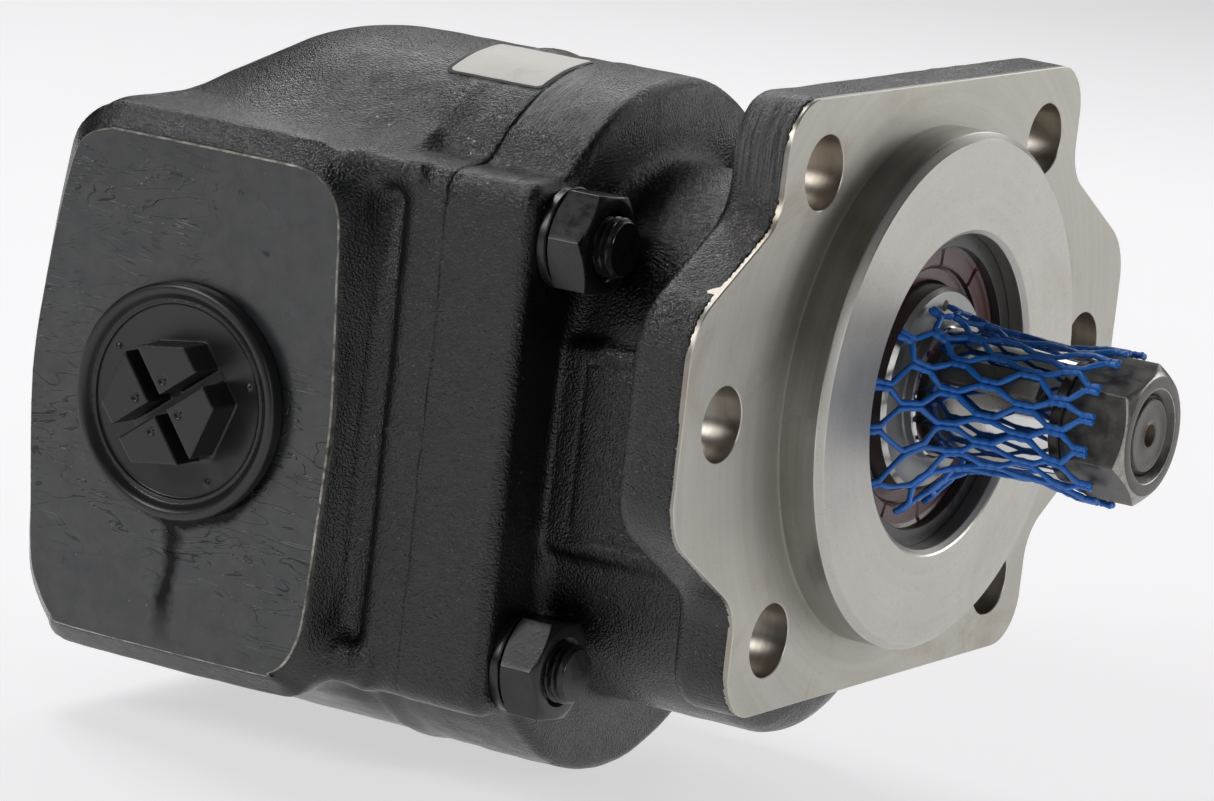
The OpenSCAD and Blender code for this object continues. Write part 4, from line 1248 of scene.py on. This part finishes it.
def net_piece():
    N = 14
    cols = [6.4, 10.6, 16.2, 23.2, 31.0, 38.3, 44.4]
    half = [0.9, 1.3, 1.7, 2.0, 2.1, 2.0, 1.0]
    rng = np.random.default_rng(5)
    jit = {}

    def node(k, i):
        key = (k, i % N)
        if key not in jit:
            jit[key] = (rng.uniform(-0.8, 0.8), rng.uniform(-2.2, 2.2))
        return jit[key]

    segs = 7
    ring_n = 10
    rad = 0.6
    verts, faces = [], []
    off0 = 14.0

    def strand(kind, i):
        pts = []
        for k in range(len(cols)):
            odd = k % 2
            if kind == 0:
                idx = i
                ang = (i + 0.5 * odd) * 360 / N
                side = 1 if not odd else -1
            else:
                idx = i if not odd else i - 1
                ang = (i - 0.5 * odd) * 360 / N
                side = -1 if not odd else 1
            jx, ja = node(k, idx)
            x = cols[k] + jx * (0.6 if 0 < k < 6 else 1.1)
            if k == 0:
                x += 2.2 * (1 - (0.5 + 0.5 * math.cos(math.radians(ang + off0 - 208.0))) ** 1.5)
            r = net_radius(x, ang + off0)
            d = math.degrees((rad * 0.88) / r) * side
            a = ang + off0 + ja * (1.0 if 0 < k < 6 else 1.6)
            lo_x, hi_x = x - half[k], x + half[k]
            if k == 0:
                pts.append((lo_x - 0.6, a + d * 1.1))
                pts.append((x, a + d))
                pts.append((hi_x, a + d))
            elif k == len(cols) - 1:
                pts.append((lo_x, a + d))
                pts.append((x, a + d))
                pts.append((hi_x + 0.8, a + d * 1.1))
            else:
                pts.append((lo_x, a + d))
                pts.append((x, a + d))
                pts.append((hi_x, a + d))
        return pts

    def path(pts):
        # the strand keeps clear of the shaft, key, washer and nut
        out = []
        P = np.array(pts, float)
        m = len(P)
        for q in range(m - 1):
            p0, p1, p2, p3 = P[max(q - 1, 0)], P[q], P[q + 1], P[min(q + 2, m - 1)]
            st = segs
            for t in np.linspace(0, 1, st, endpoint=False):
                c = 0.5 * (2 * p1 + (p2 - p0) * t * 0.62 + (2 * p0 - 5 * p1 + 4 * p2 - p3) * t * t * 0.0 + 0)
                h = t * t * (3 - 2 * t)
                lin = p1 + (p2 - p1) * (0.62 * t + 0.38 * h)
                out.append(lin)
        out.append(P[-1])
        res = []
        for x, a in out:
            r = net_radius(x, a)
            # over the key
            if 10.0 < x < 35.5:
                da = (a - (90 + 60) + 180) % 360 - 180
                kr = 14.95
                w = math.exp(-(da / 15.0) ** 4) * min(1.0, (x - 10.0) / 3.0) * min(1.0, (35.5 - x) / 3.0)
                r = max(r, r + (kr - r) * w)
            ar = math.radians(a)
            res.append((x, r * math.cos(ar), r * math.sin(ar)))
        return np.array(res)

    for kind in (0, 1):
        for i in range(N):
            p = path(strand(kind, i))
            t = np.gradient(p, axis=0)
            t /= np.linalg.norm(t, axis=1)[:, None]
            rv = np.stack([np.zeros(len(p)), p[:, 1], p[:, 2]], 1)
            rv /= np.linalg.norm(rv, axis=1)[:, None]
            b = np.cross(t, rv)
            b /= np.linalg.norm(b, axis=1)[:, None]
            nn = np.cross(b, t)
            base = len(verts)
            m = len(p)
            for q in range(m):
                end = min(q, m - 1 - q)
                fat = 1.0 + 0.10 * math.sin(q * 0.9 + i)
                if end < 3:
                    fat *= 1.12
                if end == 0:
                    fat *= 0.72
                for s in range(ring_n):
                    w = 2 * pi * s / ring_n
                    verts.append(tuple(p[q] + rad * fat * (math.cos(w) * b[q] * 1.02 + math.sin(w) * nn[q] * 0.92)))
            for q in range(m - 1):
                for s in range(ring_n):
                    s2 = (s + 1) % ring_n
                    faces.append((base + q * ring_n + s, base + q * ring_n + s2, base + (q + 1) * ring_n + s2, base + (q + 1) * ring_n + s))
            faces.append(tuple(base + s for s in reversed(range(ring_n))))
            faces.append(tuple(base + (m - 1) * ring_n + s for s in range(ring_n)))
    ob = new_mesh("net_sleeve_woven", verts, outward(verts, faces), [M["net_blue"]], None, sharp=50)
    return ob


static(net_piece(), "shaft_net_sleeve", "net_sleeve")

# ------------------------------------------------------------------ materials of the CAD nodes kept as they are
M["gear_steel"] = plain_metal("gear_steel", (0.50, 0.50, 0.51), (0.62, 0.62, 0.63), 0.22, 1.0, 150, 0.00001)
M["block_alloy"] = plain_metal("block_alloy", (0.60, 0.61, 0.63), (0.72, 0.73, 0.75), 0.38, 0.9, 200, 0.00002)
M["bush_bronze"] = plain_metal("bush_bronze", (0.32, 0.21, 0.10), (0.45, 0.31, 0.16), 0.34, 0.95, 300, 0.00002)
M["black_rubber"] = moulded("black_rubber", (0.010, 0.010, 0.010), (0.022, 0.022, 0.022), 0.55, 900)
M["bearing_steel"] = plain_metal("bearing_steel", (0.60, 0.60, 0.61), (0.70, 0.70, 0.71), 0.14, 1.0, 120, 0.000005)
M["cage_brass"] = plain_metal("cage_brass", (0.50, 0.36, 0.14), (0.62, 0.47, 0.21), 0.30, 1.0, 260, 0.00002)
KEEP = {
    "drive_gear": "gear_steel", "driven_gear": "gear_steel", "front_bearing_block": "block_alloy", "rear_bearing_block": "block_alloy",
    "drive_front_bush": "bush_bronze", "drive_rear_bush": "bush_bronze", "driven_front_bush": "bush_bronze", "driven_rear_bush": "bush_bronze",
    "front_balance_seal": "black_rubber", "rear_balance_seal": "black_rubber", "cover_seal": "black_rubber", "dowel_pins": "bearing_steel",
    "bearing_outer_ring": "bearing_steel", "bearing_inner_ring": "bearing_steel", "bearing_balls": "bearing_steel", "bearing_cage": "cage_brass",
    "seal_garter_spring": "bearing_steel",
}
for node, mat in KEEP.items():
    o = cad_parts[node]
    if not o.material_slots:
        o.data.materials.append(M[mat])
    for s in o.material_slots:
        s.material = M[mat]

# ------------------------------------------------------------------ stage and light
world = bpy.data.worlds.new("studio")
scene.world = world
world.use_nodes = True
bg = world.node_tree.nodes["Background"]
bg.inputs[0].default_value = (0.96, 0.95, 0.97, 1)
bg.inputs[1].default_value = 0.06

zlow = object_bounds()[0][2]


def area(name, loc, target, sx, sy, power, col=(1, 1, 1)):
    d = bpy.data.lights.new(name, "AREA")
    d.shape = "RECTANGLE"
    d.size, d.size_y = sx, sy
    d.energy = power
    d.color = col
    o = bpy.data.objects.new(name, d)
    scene.collection.objects.link(o)
    o.location = loc
    o.rotation_euler = (Vector(target) - Vector(loc)).to_track_quat("-Z", "Y").to_euler()
    return o


area("key_top", (-0.70, 0.16, 0.96), (-0.07, 0.0, -0.02), 0.36, 0.30, 3.8)
area("front_right", (1.30, -0.55, 0.42), (0.0, 0.0, 0.0), 0.5, 0.7, 1.8)
area("right_back", (0.85, 1.15, 0.35), (0.0, 0.0, 0.0), 0.6, 0.6, 4.2)
area("left_strip", (-0.68, -0.92, 0.66), (-0.08, -0.03, 0.0), 0.28, 0.55, 5.0)
area("back_rim", (-0.35, 1.05, 0.62), (-0.05, 0.0, 0.0), 1.4, 0.5, 4.0)

fm = Mat("paper_floor")
fn = fm.noise(3.0, 3.0, 0.5)
fm.p.inputs["Emission Strength"].default_value = 0.60
fm.set(Emission_Color=(1.0, 0.985, 1.0), Base_Color=fm.mix(fm.rng(fn, 0.3, 0.7, 0.0, 1.0), (0.47, 0.466, 0.474), (0.51, 0.506, 0.514)), Roughness=fm.rng(fn, 0.3, 0.7, 0.75, 0.9),
       Normal=fm.bump(fm.noise(300, 3.0, 0.5), 0.00003))
rows = [(-4.0, 0.0), (0.0, 0.0), (2.1, 0.0)]
# a level sheet of paper
d0 = Vector((-0.4992, 0.8665, 0.0))
d1 = Vector((0.8665, 0.4992, 0.0))
fv, ff = [], []
for t, hgt in rows:
    for s in (-4.0, 4.0):
        p = d0 * t + d1 * s
        fv.append((p.x * 1000, p.y * 1000, (zlow + hgt) * 1000 - 0.05))
for i in range(len(rows) - 1):
    ff.append((2 * i, 2 * i + 1, 2 * i + 3, 2 * i + 2))
floor = new_mesh("paper_floor", fv, ff, [fm.m])

scene.view_settings.view_transform = "Standard"
scene.view_settings.look = "None"
scene.view_settings.exposure = 0.0
